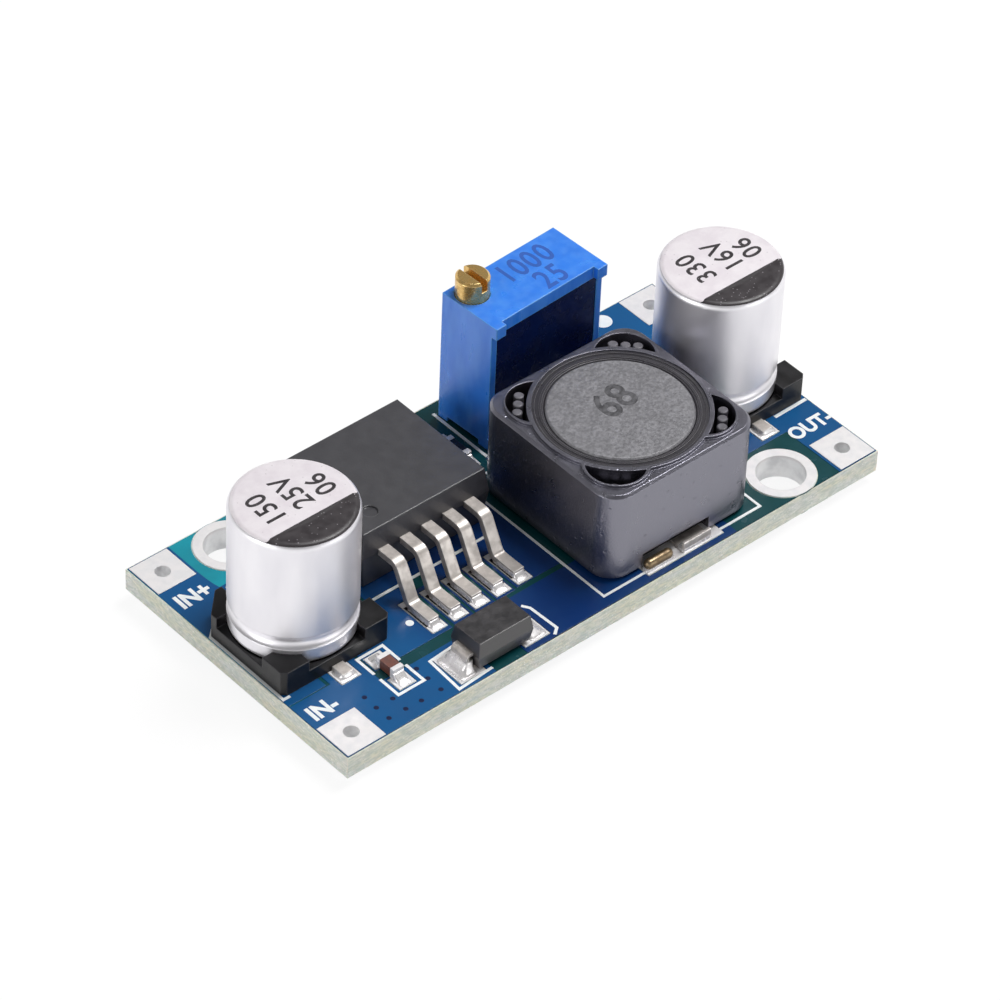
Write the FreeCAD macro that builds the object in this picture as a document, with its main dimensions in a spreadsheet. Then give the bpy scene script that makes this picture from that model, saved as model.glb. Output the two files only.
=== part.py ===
import FreeCAD, Part
import math
import os
import Sketcher

# Buck converter module: a small circuit board with its power parts.
# Millimetres. The origin is the centre of the mounting-hole pattern on the underside of the board,
# +X runs from the input end to the output end, +Y to the trimmer's side and +Z up.

os.makedirs("parts", exist_ok=True)
doc = FreeCAD.newDocument("BuckConverterModule")

# Driving dimensions: name, value, what it is.
DIMENSIONS = [
    ("board_thickness", 1.6, "glass-fibre laminate"),
    ("input_end", 4.45, "board's input end to the can's axis"),
    ("output_end", 4.3, "can's axis to the board's output end"),
    ("front_strip", 1.25, "board's front edge to the inductor"),
    ("back_strip", 0.905, "trimmer to the board's back edge"),
    ("land_thickness", 0.07, "copper and tin on the laminate"),
    ("plating", 0.05, "wall of a plated hole"),
    ("corner_pad_side", 2.9, "square wire pad"),
    ("corner_pad_margin", 0.15, "board edge to wire pad"),
    ("wire_hole", 1.0, "finished diameter of a wire hole"),
    ("mount_hole", 3.2, "finished diameter of a mounting hole"),
    ("mount_ring", 4.5, "outer diameter of a mounting ring"),
    ("mount_end", 6.2, "board's end to a mounting hole"),
    ("mount_edge", 2.3, "board's long edge to a mounting hole"),
    ("fit_gap", 0.02, "clearance of parts that seat in each other"),

    ("cap_in_shift", -0.05, "input capacitor off the board's middle line"),
    ("cap_out_shift", 0.2, "output capacitor off the board's middle line"),
    ("can_diameter", 8.0, "aluminium can"),
    ("can_height", 9.55, "aluminium can"),
    ("can_top_rounding", 0.45, "rolled top edge"),
    ("can_foot_rounding", 0.5, "curled bottom edge"),
    ("crimp_height", 1.75, "can's bottom to the middle of its crimp"),
    ("crimp_width", 1.0, "crimp groove"),
    ("crimp_depth", 0.32, "crimp groove"),
    ("cap_base_side", 8.3, "moulded capacitor base"),
    ("cap_base_floor", 0.83, "base floor under the can"),
    ("cap_wall_height", 1.0, "low wall of the base"),
    ("cap_block_height", 1.8, "corner blocks of the base"),
    ("cap_block_length", 2.0, "corner blocks of the base"),
    ("cap_base_chamfer", 1.5, "corners on the positive side"),
    ("cap_base_nick", 0.3, "corners on the negative side"),
    ("cap_tab_width", 0.8, "terminal tab"),
    ("cap_tab_thickness", 0.3, "terminal tab"),
    ("cap_tab_reach", 5.15, "can axis to tab end"),
    ("cap_leg_offset", 1.2, "can axis to the terminal's upright leg"),
    ("cap_land_width", 1.45, "land under a terminal tab"),
    ("cap_land_reach", 5.47, "can axis to land end"),
    ("cap_land_length", 2.6, "land under a terminal tab"),

    ("regulator_gap", 1.11, "input capacitor's base to the regulator"),
    ("regulator_back", 0.7, "regulator's tab to the board's back edge"),
    ("regulator_width", 10.1, "moulded body at its parting line"),
    ("regulator_length", 8.7, "moulded body at its parting line"),
    ("regulator_top", 4.5, "board to body top"),
    ("regulator_lift", 0.12, "board to body underside"),
    ("parting_height", 2.72, "board to parting line and leads"),
    ("regulator_draft", 8.0, "degrees, sides of the moulded body"),
    ("index_dimple", 1.0, "diameter of the round index mark"),
    ("index_dimple_depth", 0.12, "round index mark"),
    ("index_side", 1.95, "body side to the mark"),
    ("index_front", 1.65, "body front to the mark"),
    ("tab_width", 9.4, "heat-spreading tab"),
    ("tab_thickness", 1.27, "heat-spreading tab"),
    ("tab_inside", 5.6, "tab length inside the body"),
    ("tab_outside", 1.3, "tab length outside the body"),
    ("tab_corner", 0.7, "cut corners of the tab"),
    ("lead_pitch", 1.7, "regulator leads"),
    ("lead_width", 0.8, "regulator leads"),
    ("lead_thickness", 0.45, "regulator leads"),
    ("lead_stub", 1.0, "lead inside the body"),
    ("lead_shoulder", 1.45, "body to the first bend"),
    ("lead_reach", 4.75, "body to the lead's tip"),
    ("lead_slope", 62.0, "degrees, sloped part of a lead"),
    ("lead_bend", 0.35, "inner radius of a bend"),
    ("lead_land_width", 1.15, "land under a lead"),
    ("lead_land_margin", 0.6, "land past the lead's tip"),
    ("lead_land_length", 3.2, "land under a lead"),

    ("inductor_gap", 1.74, "regulator to the inductor"),
    ("inductor_after", 1.0, "inductor to the output capacitor's base"),
    ("shield_wall", 0.65, "ferrite between the opening and the shield's side"),
    ("shield_top", 6.9, "board to the shield's flat top"),
    ("shield_lift", 0.3, "board to the shield's underside"),
    ("shield_corner", 1.6, "corner radius of the shield"),
    ("shield_edge", 0.18, "rounding of the shield's top edge"),
    ("bond_width", 0.825, "resin ring between drum and shield"),
    ("collar_width", 0.24, "raised rim round the opening"),
    ("collar_height", 0.22, "raised rim above the flat top"),
    ("pocket_inset", 0.3, "edge of the opening to the centre of a corner pocket's arc"),
    ("pocket_radius", 1.9, "arc of a corner pocket"),
    ("pocket_bridge", 0.3, "ferrite between opening and pocket"),
    ("pocket_depth", 3.0, "corner pocket below the flat top"),
    ("rib_radius", 0.33, "ribs in a corner pocket"),
    ("rib_pitch", 0.78, "between the ribs of a pocket"),
    ("rib_offset", 1.1, "centre of a pocket's arc to its middle rib"),
    ("rib_height", 2.3, "ribs above the pocket floor"),
    ("drum_diameter", 9.25, "top flange of the drum core"),
    ("drum_top", 7.05, "board to the drum's top"),
    ("drum_flange", 1.3, "flange thickness"),
    ("drum_hub", 4.6, "core between the flanges"),
    ("drum_edge", 0.12, "bevel of the drum's flanges"),
    ("winding_inset", 0.275, "drum's edge to the copper winding"),
    ("bond_top", 6.98, "board to the resin ring's top"),
    ("bond_depth", 1.2, "resin ring"),
    ("bond_dish", 0.12, "groove where the resin meets the drum"),
    ("shield_skirt", 0.65, "shield's side to the moulded base plate"),
    ("base_thickness", 0.8, "moulded base plate"),
    ("base_corner", 1.2, "corner radius of the base plate"),
    ("clip_width", 2.25, "terminal clip"),
    ("clip_offset", 0.8, "centre line to clip centre"),
    ("clip_thickness", 0.2, "terminal clip"),
    ("clip_height", 0.72, "clip's upright part above the land"),
    ("clip_length", 3.8, "clip's foot"),
    ("terminal_stand", 0.55, "shield's side to the outer face of clip and wire end"),
    ("wire_end_radius", 0.34, "end of the winding, soldered to the clip"),
    ("wire_end_length", 2.2, "end of the winding"),
    ("wire_end_offset", 2.15, "centre line to wire end centre"),
    ("doorway_left", 3.3, "shield's cut-out for the terminals"),
    ("doorway_right", 2.2, "shield's cut-out for the terminals"),
    ("doorway_height", 0.95, "shield's cut-out above its underside"),
    ("coil_land_width", 6.2, "land under clip and wire end"),
    ("coil_land_length", 3.2, "land under clip and wire end"),
    ("coil_land_offset", -0.25, "centre line to land centre"),
    ("coil_land_margin", 0.15, "clip and wire end to the land's outer edge"),

    ("trimmer_shift", 1.22, "inductor's axis to the trimmer's middle"),
    ("trimmer_gap", 1.815, "inductor to the trimmer"),
    ("trimmer_skew", 2.9, "degrees, as it was soldered in"),
    ("trimmer_length", 9.53, "moulded housing"),
    ("trimmer_depth", 4.83, "moulded housing with its front nibs"),
    ("trimmer_height", 10.03, "board to the housing's top"),
    ("trimmer_standoff", 0.38, "feet under the housing"),
    ("nib_depth", 0.42, "nibs at the front corners"),
    ("nib_width", 0.8, "nibs at the front corners"),
    ("nib_height", 0.85, "nibs at the front corners"),
    ("housing_side", 0.46, "side walls"),
    ("housing_back", 0.45, "back wall"),
    ("housing_roof", 0.93, "top wall"),
    ("housing_floor", 0.52, "bottom wall"),
    ("potting_depth", 1.2, "resin that closes the front"),
    ("potting_recess", 0.06, "housing front to resin"),
    ("element_side", 6.8, "ceramic element"),
    ("element_thickness", 0.64, "ceramic element"),
    ("pin_diameter", 0.5, "trimmer pins"),
    ("pin_setback", 0.1, "resin between the element and a pin"),
    ("pin_pitch", 2.54, "trimmer pins"),
    ("pin_top", 2.4, "board to the pins' upper ends"),
    ("pin_below", 0.75, "pins under the board"),
    ("pin_hole_gap", 0.15, "pin to plated hole"),
    ("pin_land", 1.7, "outer diameter of a pin land"),
    ("solder_height", 0.55, "solder cone under the board"),
    ("solder_skirt", 1.4, "solder cone's foot"),
    ("solder_tip", 0.65, "diameter of the solder cone's end"),
    ("screw_side", 1.315, "housing side to screw axis"),
    ("screw_back", 1.265, "housing back to screw axis"),
    ("screw_diameter", 2.19, "screw head"),
    ("screw_top", 11.55, "board to the screw's top"),
    ("screw_gap", 0.03, "running clearance of the screw"),
    ("screw_bevel", 0.15, "head's upper edge"),
    ("slot_width", 0.5, "screwdriver slot"),
    ("slot_depth", 0.75, "screwdriver slot"),
    ("seal_section", 0.4, "seal ring's section"),
    ("seal_centre", 0.42, "top of the housing to the seal ring"),
    ("worm_lead", 0.63, "worm's rise in one turn"),
    ("worm_pitch_radius", 0.64, "worm"),
    ("worm_turns", 5, "turns of thread"),
    ("addendum", 0.15, "tooth above the pitch line"),
    ("dedendum", 0.2, "tooth below the pitch line"),
    ("flank_gap", 0.05, "clearance of a tooth flank"),
    ("flank_angle", 20.0, "degrees, tooth flank"),
    ("wheel_teeth", 32, "teeth of the worm wheel"),
    ("wheel_height", 5.0, "board to the wheel's axis"),
    ("wheel_rim", 0.6, "width of the toothed rim"),
    ("hub_radius", 2.2, "wheel's front hub"),
    ("hub_front", 0.4, "wheel's front hub, ahead of the rim"),
    ("hub_rear", 0.3, "wheel's rear hub, behind the rim"),
    ("rear_hub_radius", 1.1, "wheel's rear hub"),
    ("tooth_root", 0.04, "foot of a tooth inside the rim"),
    ("axle_radius", 0.55, "stub axle of the wheel"),
    ("axle_gap", 0.04, "running clearance on the stub axle"),
    ("pivot_radius", 0.36, "screw's lower pivot"),
    ("pivot_depth", 0.7, "lower pivot in its boss"),
    ("boss_height", 0.8, "boss that holds the lower pivot"),
    ("boss_radius", 0.75, "boss that holds the lower pivot"),
    ("wiper_thickness", 0.1, "spring wiper"),
    ("wiper_radius", 1.9, "spring wiper"),
    ("wiper_bore", 0.95, "radius of the wiper's opening"),
    ("contact_offset", 1.425, "wheel's axis to a contact point"),
    ("contact_radius", 0.2, "wiper's contact point"),
    ("contact_gap", 0.03, "contact point to element"),

    ("diode_shift", -2.01, "regulator's middle to the diode's middle"),
    ("diode_strip", 0.55, "board's front edge to the diode"),
    ("diode_length", 4.3, "moulded body at its parting line"),
    ("diode_width", 2.6, "moulded body at its parting line"),
    ("diode_top", 2.25, "board to body top"),
    ("diode_parting", 1.25, "board to parting line"),
    ("diode_lift", 0.3, "board to body underside"),
    ("diode_draft", 9.0, "degrees, sides of the moulded body"),
    ("strap_width", 1.45, "diode terminal"),
    ("strap_thickness", 0.2, "diode terminal"),
    ("strap_reach", 2.62, "diode centre to terminal's outer face"),
    ("strap_foot", 1.25, "terminal's foot"),
    ("strap_stub", 0.6, "terminal inside the body"),
    ("strap_bend", 0.16, "inner radius of the terminal's bends"),
    ("diode_land_length", 1.95, "land under a terminal"),
    ("diode_land_width", 2.6, "land under a terminal"),
    ("diode_land_outer", 3.5, "diode centre to the land's outer end"),

    ("chip_cap_shift", 2.27, "input capacitor's axis to the chip capacitor"),
    ("chip_cap_strip", 3.35, "board's front edge to the chip capacitor"),
    ("chip_cap_length", 1.6, "chip capacitor"),
    ("chip_cap_width", 0.8, "chip capacitor"),
    ("chip_cap_height", 0.75, "chip capacitor"),
    ("chip_cap_end", 0.32, "chip capacitor's end cap"),
    ("chip_cap_land_width", 1.25, "land under an end cap"),
    ("chip_cap_land_length", 1.1, "land under an end cap"),
    ("chip_cap_land_gap", 1.15, "between the two lands"),

    ("chip_res_gap", 1.13, "chip resistor to the trimmer"),
    ("chip_res_shift", -1.18, "trimmer's middle line to the chip resistor's"),
    ("chip_res_length", 2.0, "chip resistor"),
    ("chip_res_width", 1.25, "chip resistor"),
    ("chip_res_height", 0.5, "chip resistor"),
    ("chip_res_end", 0.38, "chip resistor's end cap"),
    ("chip_res_land_width", 1.4, "land under an end cap"),
    ("chip_res_land_length", 1.2, "land under an end cap"),
    ("chip_res_land_gap", 1.1, "between the two lands"),
    ("cap_skin", 0.03, "how far an end cap wraps over its chip"),
]

sheet = doc.addObject("Spreadsheet::Sheet", "Sizes")
for row, (alias, value, note) in enumerate(DIMENSIONS, start=1):
    sheet.set(f"A{row}", note)
    sheet.set(f"B{row}", str(value))
    sheet.setAlias(f"B{row}", alias)
doc.recompute()


class Size:
    """A value together with the sheet formula that gives it."""

    def __init__(self, value, formula):
        self.value = float(value)
        self.formula = formula

    @staticmethod
    def of(other):
        if isinstance(other, Size):
            return other
        return Size(other, f"({other})")

    def joined(self, other, sign, value):
        return Size(value, f"({self.formula} {sign} {Size.of(other).formula})")

    def __add__(self, other):
        return self.joined(other, "+", self.value + Size.of(other).value)

    def __radd__(self, other):
        return Size.of(other) + self

    def __sub__(self, other):
        return self.joined(other, "-", self.value - Size.of(other).value)

    def __rsub__(self, other):
        return Size.of(other) - self

    def __mul__(self, other):
        return self.joined(other, "*", self.value * Size.of(other).value)

    def __rmul__(self, other):
        return Size.of(other) * self

    def __truediv__(self, other):
        return self.joined(other, "/", self.value / Size.of(other).value)

    def __neg__(self):
        return Size(-self.value, f"(-1 * {self.formula})")

    def __float__(self):
        return self.value


def sine(angle):
    return Size(math.sin(math.radians(angle.value)), f"sin({angle.formula} * 1 deg)")


def cosine(angle):
    return Size(math.cos(math.radians(angle.value)), f"cos({angle.formula} * 1 deg)")


def tangent(angle):
    return Size(math.tan(math.radians(angle.value)), f"tan({angle.formula} * 1 deg)")


def root(square):
    return Size(math.sqrt(square.value), f"sqrt({square.formula})")


class Dimensions:
    """The sheet's cells by name."""

    def __init__(self, rows):
        for alias, value, note in rows:
            setattr(self, alias, Size(value, f"Sizes.{alias}"))


d = Dimensions(DIMENSIONS)
ZERO = Size(0.0, "0")
subparts = []

# Inductor: the drum core gives the shield, the base plate and the terminals their size.
shield_bore = d.drum_diameter + d.bond_width * 2
shield_side = shield_bore + d.shield_wall * 2
base_side = shield_side - d.shield_skirt * 2
winding_diameter = d.drum_diameter - d.winding_inset * 2
pocket_centre = shield_bore / 2 - d.pocket_inset
rib_centre = pocket_centre + d.rib_offset
terminal_reach = shield_side / 2 + d.terminal_stand
coil_land_reach = terminal_reach + d.coil_land_margin

# Layout: the parts stand in a row along the board, and their sizes and gaps give the board its size.
# Distances count from the input end and from the front edge until the last lines here.

cap_in_along = d.input_end
regulator_left = cap_in_along + d.cap_base_side / 2 + d.regulator_gap
inductor_left = regulator_left + d.regulator_width + d.inductor_gap
cap_out_along = inductor_left + shield_side + d.inductor_after + d.cap_base_side / 2
board_length = cap_out_along + d.output_end
board_width = d.front_strip + shield_side + d.trimmer_gap + d.trimmer_depth + d.back_strip

half_length = board_length / 2
half_width = board_width / 2
cap_in = (cap_in_along - half_length, d.cap_in_shift)
cap_out = (cap_out_along - half_length, d.cap_out_shift)
regulator_x = regulator_left + d.regulator_width / 2 - half_length
regulator_y = half_width - d.regulator_back - d.tab_outside - d.regulator_length
inductor_x = inductor_left + shield_side / 2 - half_length
inductor_y = d.front_strip + shield_side / 2 - half_width
trimmer_x = inductor_x + d.trimmer_shift
trimmer_y = half_width - d.back_strip - d.trimmer_depth / 2
diode_x = regulator_x + d.diode_shift
diode_y = d.diode_strip + d.diode_width / 2 - half_width
chip_cap_x = cap_in[0] + d.chip_cap_shift
chip_cap_y = d.chip_cap_strip + d.chip_cap_length / 2 - half_width
chip_res_x = trimmer_x - d.trimmer_length / 2 - d.chip_res_gap - d.chip_res_width / 2
chip_res_y = trimmer_y + d.chip_res_shift


def bind(target, name, size):
    """Tie a property to the sheet."""
    target.setExpression(name, Size.of(size).formula)


class Outline:
    """A sketch on one of a body's own planes, moved along its normal."""

    def __init__(self, body, name, role, height):
        self.sketch = body.newObject("Sketcher::SketchObject", name)
        planes = [item for item in body.Origin.OriginFeatures if item.Role == role]
        self.sketch.AttachmentSupport = [(planes[0], "")]
        self.sketch.MapMode = "FlatFace"
        bind(self.sketch, ".AttachmentOffset.Base.z", height)

    def tie(self, kind, *where, size):
        value = Size.of(size)
        index = self.sketch.addConstraint(Sketcher.Constraint(kind, *where, value.value))
        if isinstance(size, Size):
            self.sketch.setExpression(f"Constraints[{index}]", value.formula)

    def polygon(self, points):
        """Closed line through (x, y) points; (x, y, radius, side) starts an arc to the next point.

        side is 1 where the arc's centre is to the left of the way to the next point, -1 to the right.
        """
        first = self.sketch.GeometryCount
        count = len(points)
        starts = []
        ends = []
        for index, point in enumerate(points):
            start = FreeCAD.Vector(float(point[0]), float(point[1]), 0)
            following = points[(index + 1) % count]
            end = FreeCAD.Vector(float(following[0]), float(following[1]), 0)
            here = first + index
            if len(point) == 2:
                self.sketch.addGeometry(Part.LineSegment(start, end), False)
                starts.append((here, 1))
                ends.append((here, 2))
                continue
            radius = float(point[2])
            chord = end - start
            left = FreeCAD.Vector(-chord.y, chord.x, 0).normalize()
            rise = math.sqrt(max(radius ** 2 - (chord.Length / 2) ** 2, 0.0))
            centre = (start + end) / 2 + left * (rise * point[3])
            turn_from, turn_to = (start, end) if point[3] > 0 else (end, start)
            angle_from = math.atan2(turn_from.y - centre.y, turn_from.x - centre.x)
            angle_to = math.atan2(turn_to.y - centre.y, turn_to.x - centre.x)
            circle = Part.Circle(centre, FreeCAD.Vector(0, 0, 1), radius)
            self.sketch.addGeometry(Part.ArcOfCircle(circle, angle_from, angle_to), False)
            starts.append((here, 1) if point[3] > 0 else (here, 2))
            ends.append((here, 2) if point[3] > 0 else (here, 1))
        for index in range(count):
            following = (index + 1) % count
            self.sketch.addConstraint(Sketcher.Constraint("Coincident", *ends[index], *starts[following]))
        for index, point in enumerate(points):
            self.tie("DistanceX", -1, 1, *starts[index], size=point[0])
            self.tie("DistanceY", -1, 1, *starts[index], size=point[1])
            if len(point) > 2:
                self.tie("Radius", first + index, size=point[2])
        return self

    def rectangle(self, left, low, right, high):
        return self.polygon([(left, low), (right, low), (right, high), (left, high)])

    def circle(self, x, y, radius):
        index = self.sketch.GeometryCount
        centre = FreeCAD.Vector(float(x), float(y), 0)
        self.sketch.addGeometry(Part.Circle(centre, FreeCAD.Vector(0, 0, 1), float(radius)), False)
        self.tie("DistanceX", -1, 1, index, 3, size=x)
        self.tie("DistanceY", -1, 1, index, 3, size=y)
        self.tie("Radius", index, size=radius)
        return self


class Piece:
    """One solid sub-part, built from features in a body of its own."""

    def __init__(self, label, listed=True):
        self.body = doc.addObject("PartDesign::Body", label)
        self.body.Label = label
        self.features = 0
        if listed:
            subparts.append(self.body)

    def outline(self, role="XY_Plane", height=ZERO):
        self.features += 1
        return Outline(self.body, f"{self.body.Label}_outline_{self.features}", role, height)

    def feature(self, kind):
        self.features += 1
        return self.body.newObject(f"PartDesign::{kind}", f"{self.body.Label}_{kind.lower()}_{self.features}")

    def extrude(self, kind, outline, length, backward=False, both_ways=False, taper=None):
        feature = self.feature(kind)
        feature.Profile = (outline.sketch, [""])
        bind(feature, "Length", length)
        feature.Reversed = backward
        if both_ways:
            feature.SideType = "Symmetric"
        if taper is not None:
            bind(feature, "TaperAngle", -taper)
        return feature

    def pad(self, outline, length, **how):
        return self.extrude("Pad", outline, length, **how)

    def pocket(self, outline, length, **how):
        """Cut, and stop the build if nothing was cut."""
        doc.recompute()
        before = self.body.Shape.Volume
        feature = self.extrude("Pocket", outline, length, **how)
        doc.recompute()
        if self.body.Shape.Volume >= before:
            raise RuntimeError(f"a pocket of {self.body.Label} cuts nothing")
        return feature

    def revolve(self, outline, axis="V_Axis"):
        feature = self.feature("Revolution")
        feature.Profile = (outline.sketch, [""])
        feature.ReferenceAxis = (outline.sketch, [axis])
        return feature

    def edges(self, wanted):
        """The current feature with the names of the edges that wanted picks."""
        doc.recompute()
        feature = self.body.Tip
        names = [f"Edge{i}" for i, edge in enumerate(feature.Shape.Edges, start=1) if wanted(edge)]
        if not names:
            raise RuntimeError(f"no edge to finish on {self.body.Label}")
        return feature, names

    def fillet(self, wanted, radius):
        base = self.edges(wanted)
        feature = self.feature("Fillet")
        feature.Base = base
        bind(feature, "Radius", radius)

    def chamfer(self, wanted, size):
        base = self.edges(wanted)
        feature = self.feature("Chamfer")
        feature.Base = base
        bind(feature, "Size", size)

    def around(self, original, outline, count):
        """Repeat a feature in a full circle about the outline's normal."""
        pattern = self.feature("PolarPattern")
        pattern.Originals = [original]
        pattern.Axis = (outline.sketch, ["N_Axis"])
        pattern.Angle = 360
        bind(pattern, "Occurrences", count)
        self.body.Tip = pattern

    def place(self, x, y, height, turn=None):
        place(self.body, x, y, height, turn)
        return self


def place(target, x, y, height, turn=None):
    """Put a sub-part where it belongs, turned about +Z where it needs it."""
    if turn is not None:
        up = FreeCAD.Vector(0, 0, 1)
        target.Placement = FreeCAD.Placement(FreeCAD.Vector(), FreeCAD.Rotation(up, float(turn)))
        bind(target, ".Placement.Rotation.Angle", turn)
    bind(target, ".Placement.Base.x", x)
    bind(target, ".Placement.Base.y", y)
    bind(target, ".Placement.Base.z", height)


def group(label, members):
    """Several like solids in one sub-part."""
    compound = doc.addObject("Part::Compound", label)
    compound.Label = label
    compound.Links = members
    subparts.append(compound)
    return compound


def block(name, left, front, low, length, depth, tall):
    """A plain rectangular solid from its lowest corner."""
    solid = doc.addObject("Part::Box", name)
    bind(solid, "Length", length)
    bind(solid, "Width", depth)
    bind(solid, "Height", tall)
    place(solid, left, front, low)
    return solid


def at_height(height):
    """Edges that lie flat at one height."""
    def wanted(edge):
        box = edge.BoundBox
        return abs(box.ZMin - height) < 1e-4 and abs(box.ZMax - height) < 1e-4
    return wanted


def along_x_at(points):
    """Straight edges along X that pass through one of some (y, z) points."""
    def wanted(edge):
        box = edge.BoundBox
        if box.YLength > 1e-4 or box.ZLength > 1e-4:
            return False
        return any(abs(box.YMin - y) < 1e-4 and abs(box.ZMin - z) < 1e-4 for y, z in points)
    return wanted


def along_y_at(points):
    """Straight edges along Y that pass through one of some (x, z) points."""
    def wanted(edge):
        box = edge.BoundBox
        if box.XLength > 1e-4 or box.ZLength > 1e-4:
            return False
        return any(abs(box.XMin - x) < 1e-4 and abs(box.ZMin - z) < 1e-4 for x, z in points)
    return wanted


# Circuit board and its plated holes

wire_inset = d.corner_pad_margin + d.corner_pad_side / 2
wire_x = half_length - wire_inset
wire_y = half_width - wire_inset
CORNERS = {
    "in_negative": (-wire_x, -wire_y),
    "in_positive": (-wire_x, wire_y),
    "out_negative": (wire_x, -wire_y),
    "out_positive": (wire_x, wire_y),
}
RINGS = {
    "input": (d.mount_end - half_length, half_width - d.mount_edge),
    "output": (half_length - d.mount_end, d.mount_edge - half_width),
}
element_front = d.potting_depth - d.trimmer_depth / 2 + d.nib_depth
pin_y = element_front - d.pin_setback - d.pin_diameter / 2
pin_eyelet_bore = d.pin_diameter / 2 + d.pin_hole_gap
PIN_STEPS = (-1, 0, 1)


def on_trimmer(x, y):
    """Board place of a point in the trimmer's own frame."""
    board_x = trimmer_x + x * cosine(d.trimmer_skew) - y * sine(d.trimmer_skew)
    board_y = trimmer_y + x * sine(d.trimmer_skew) + y * cosine(d.trimmer_skew)
    return board_x, board_y


pin_places = [on_trimmer(d.pin_pitch * step, pin_y) for step in PIN_STEPS]


def build_board():
    board = Piece("circuit_board")
    plate = board.outline().rectangle(
        -half_length, -half_width, half_length, half_width)
    board.pad(plate, d.board_thickness)
    drilling = board.outline(height=d.board_thickness)
    for x, y in CORNERS.values():
        drilling.circle(x, y, d.wire_hole / 2 + d.plating)
    for x, y in RINGS.values():
        drilling.circle(x, y, d.mount_hole / 2 + d.plating)
    for x, y in pin_places:
        drilling.circle(x, y, pin_eyelet_bore + d.plating)
    board.pocket(drilling, d.board_thickness)


def build_eyelet(label, x, y, bore, half_side, square, listed=True):
    """Plated hole with a land on each side of the board, all one piece of metal."""
    eyelet = Piece(label, listed)
    for low in (-d.land_thickness, d.board_thickness):
        land = eyelet.outline(height=low)
        if square:
            land.rectangle(-half_side, -half_side, half_side, half_side)
        else:
            land.circle(ZERO, ZERO, half_side)
        land.circle(ZERO, ZERO, bore)
        if low is d.board_thickness:
            barrel = eyelet.outline()
            barrel.circle(ZERO, ZERO, bore + d.plating)
            barrel.circle(ZERO, ZERO, bore)
            eyelet.pad(barrel, d.board_thickness)
        eyelet.pad(land, d.land_thickness)
    eyelet.place(x, y, ZERO)
    return eyelet.body


def build_eyelets():
    for name, (x, y) in CORNERS.items():
        build_eyelet(f"corner_pad_{name}", x, y, d.wire_hole / 2, d.corner_pad_side / 2, True)
    for name, (x, y) in RINGS.items():
        build_eyelet(f"mount_ring_{name}", x, y, d.mount_hole / 2, d.mount_ring / 2, False)
    members = []
    for index, (x, y) in enumerate(pin_places, start=1):
        name = f"pin_eyelet_{index}"
        members.append(build_eyelet(name, x, y, pin_eyelet_bore, d.pin_land / 2, False, listed=False))
    group("trimmer_pin_eyelets", members)


def build_lands():
    """Tinned lands that the surface-mount parts are soldered to."""
    members = []

    def land(centre_x, front, width, length):
        name = f"land_{len(members) + 1}"
        members.append(block(name, centre_x - width / 2, front, d.board_thickness,
                             width, length, d.land_thickness))

    for x, y in (cap_in, cap_out):
        land(x, y - d.cap_land_reach, d.cap_land_width, d.cap_land_length)
        land(x, y + d.cap_land_reach - d.cap_land_length, d.cap_land_width, d.cap_land_length)
    for step in (-2, -1, 0, 1, 2):
        land(regulator_x + d.lead_pitch * step, regulator_y - d.lead_reach - d.lead_land_margin,
             d.lead_land_width, d.lead_land_length)
    land(regulator_x, tab_front_y + regulator_y, d.tab_width, d.tab_inside + d.tab_outside)
    for side in (-1, 1):
        middle = inductor_y + side * (coil_land_reach - d.coil_land_length / 2)
        land(inductor_x + d.coil_land_offset, middle - d.coil_land_length / 2,
             d.coil_land_width, d.coil_land_length)
    for side in (-1, 1):
        middle = diode_x + side * (d.diode_land_outer - d.diode_land_length / 2)
        land(middle, diode_y - d.diode_land_width / 2, d.diode_land_length, d.diode_land_width)
    for side in (-1, 1):
        middle = chip_cap_y + side * (d.chip_cap_land_gap + d.chip_cap_land_length) / 2
        land(chip_cap_x, middle - d.chip_cap_land_length / 2,
             d.chip_cap_land_width, d.chip_cap_land_length)
    for side in (-1, 1):
        middle = chip_res_y + side * (d.chip_res_land_gap + d.chip_res_land_length) / 2
        land(chip_res_x, middle - d.chip_res_land_length / 2,
             d.chip_res_land_width, d.chip_res_land_length)
    group("surface_lands", members)


# Electrolytic capacitors, about the can's axis with height 0 on the board

cap_seat = d.land_thickness + d.cap_base_floor


def terminal_outline(outline, side):
    """L-shaped terminal: a foot under the base and a leg up to the can."""
    inner = side * d.cap_leg_offset
    outer = side * d.cap_tab_reach
    bend = side * (d.cap_leg_offset + d.cap_tab_thickness)
    foot_top = d.land_thickness + d.cap_tab_thickness
    return outline.polygon([
        (inner, d.land_thickness), (outer, d.land_thickness), (outer, foot_top),
        (bend, foot_top), (bend, cap_seat), (inner, cap_seat)])


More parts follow.
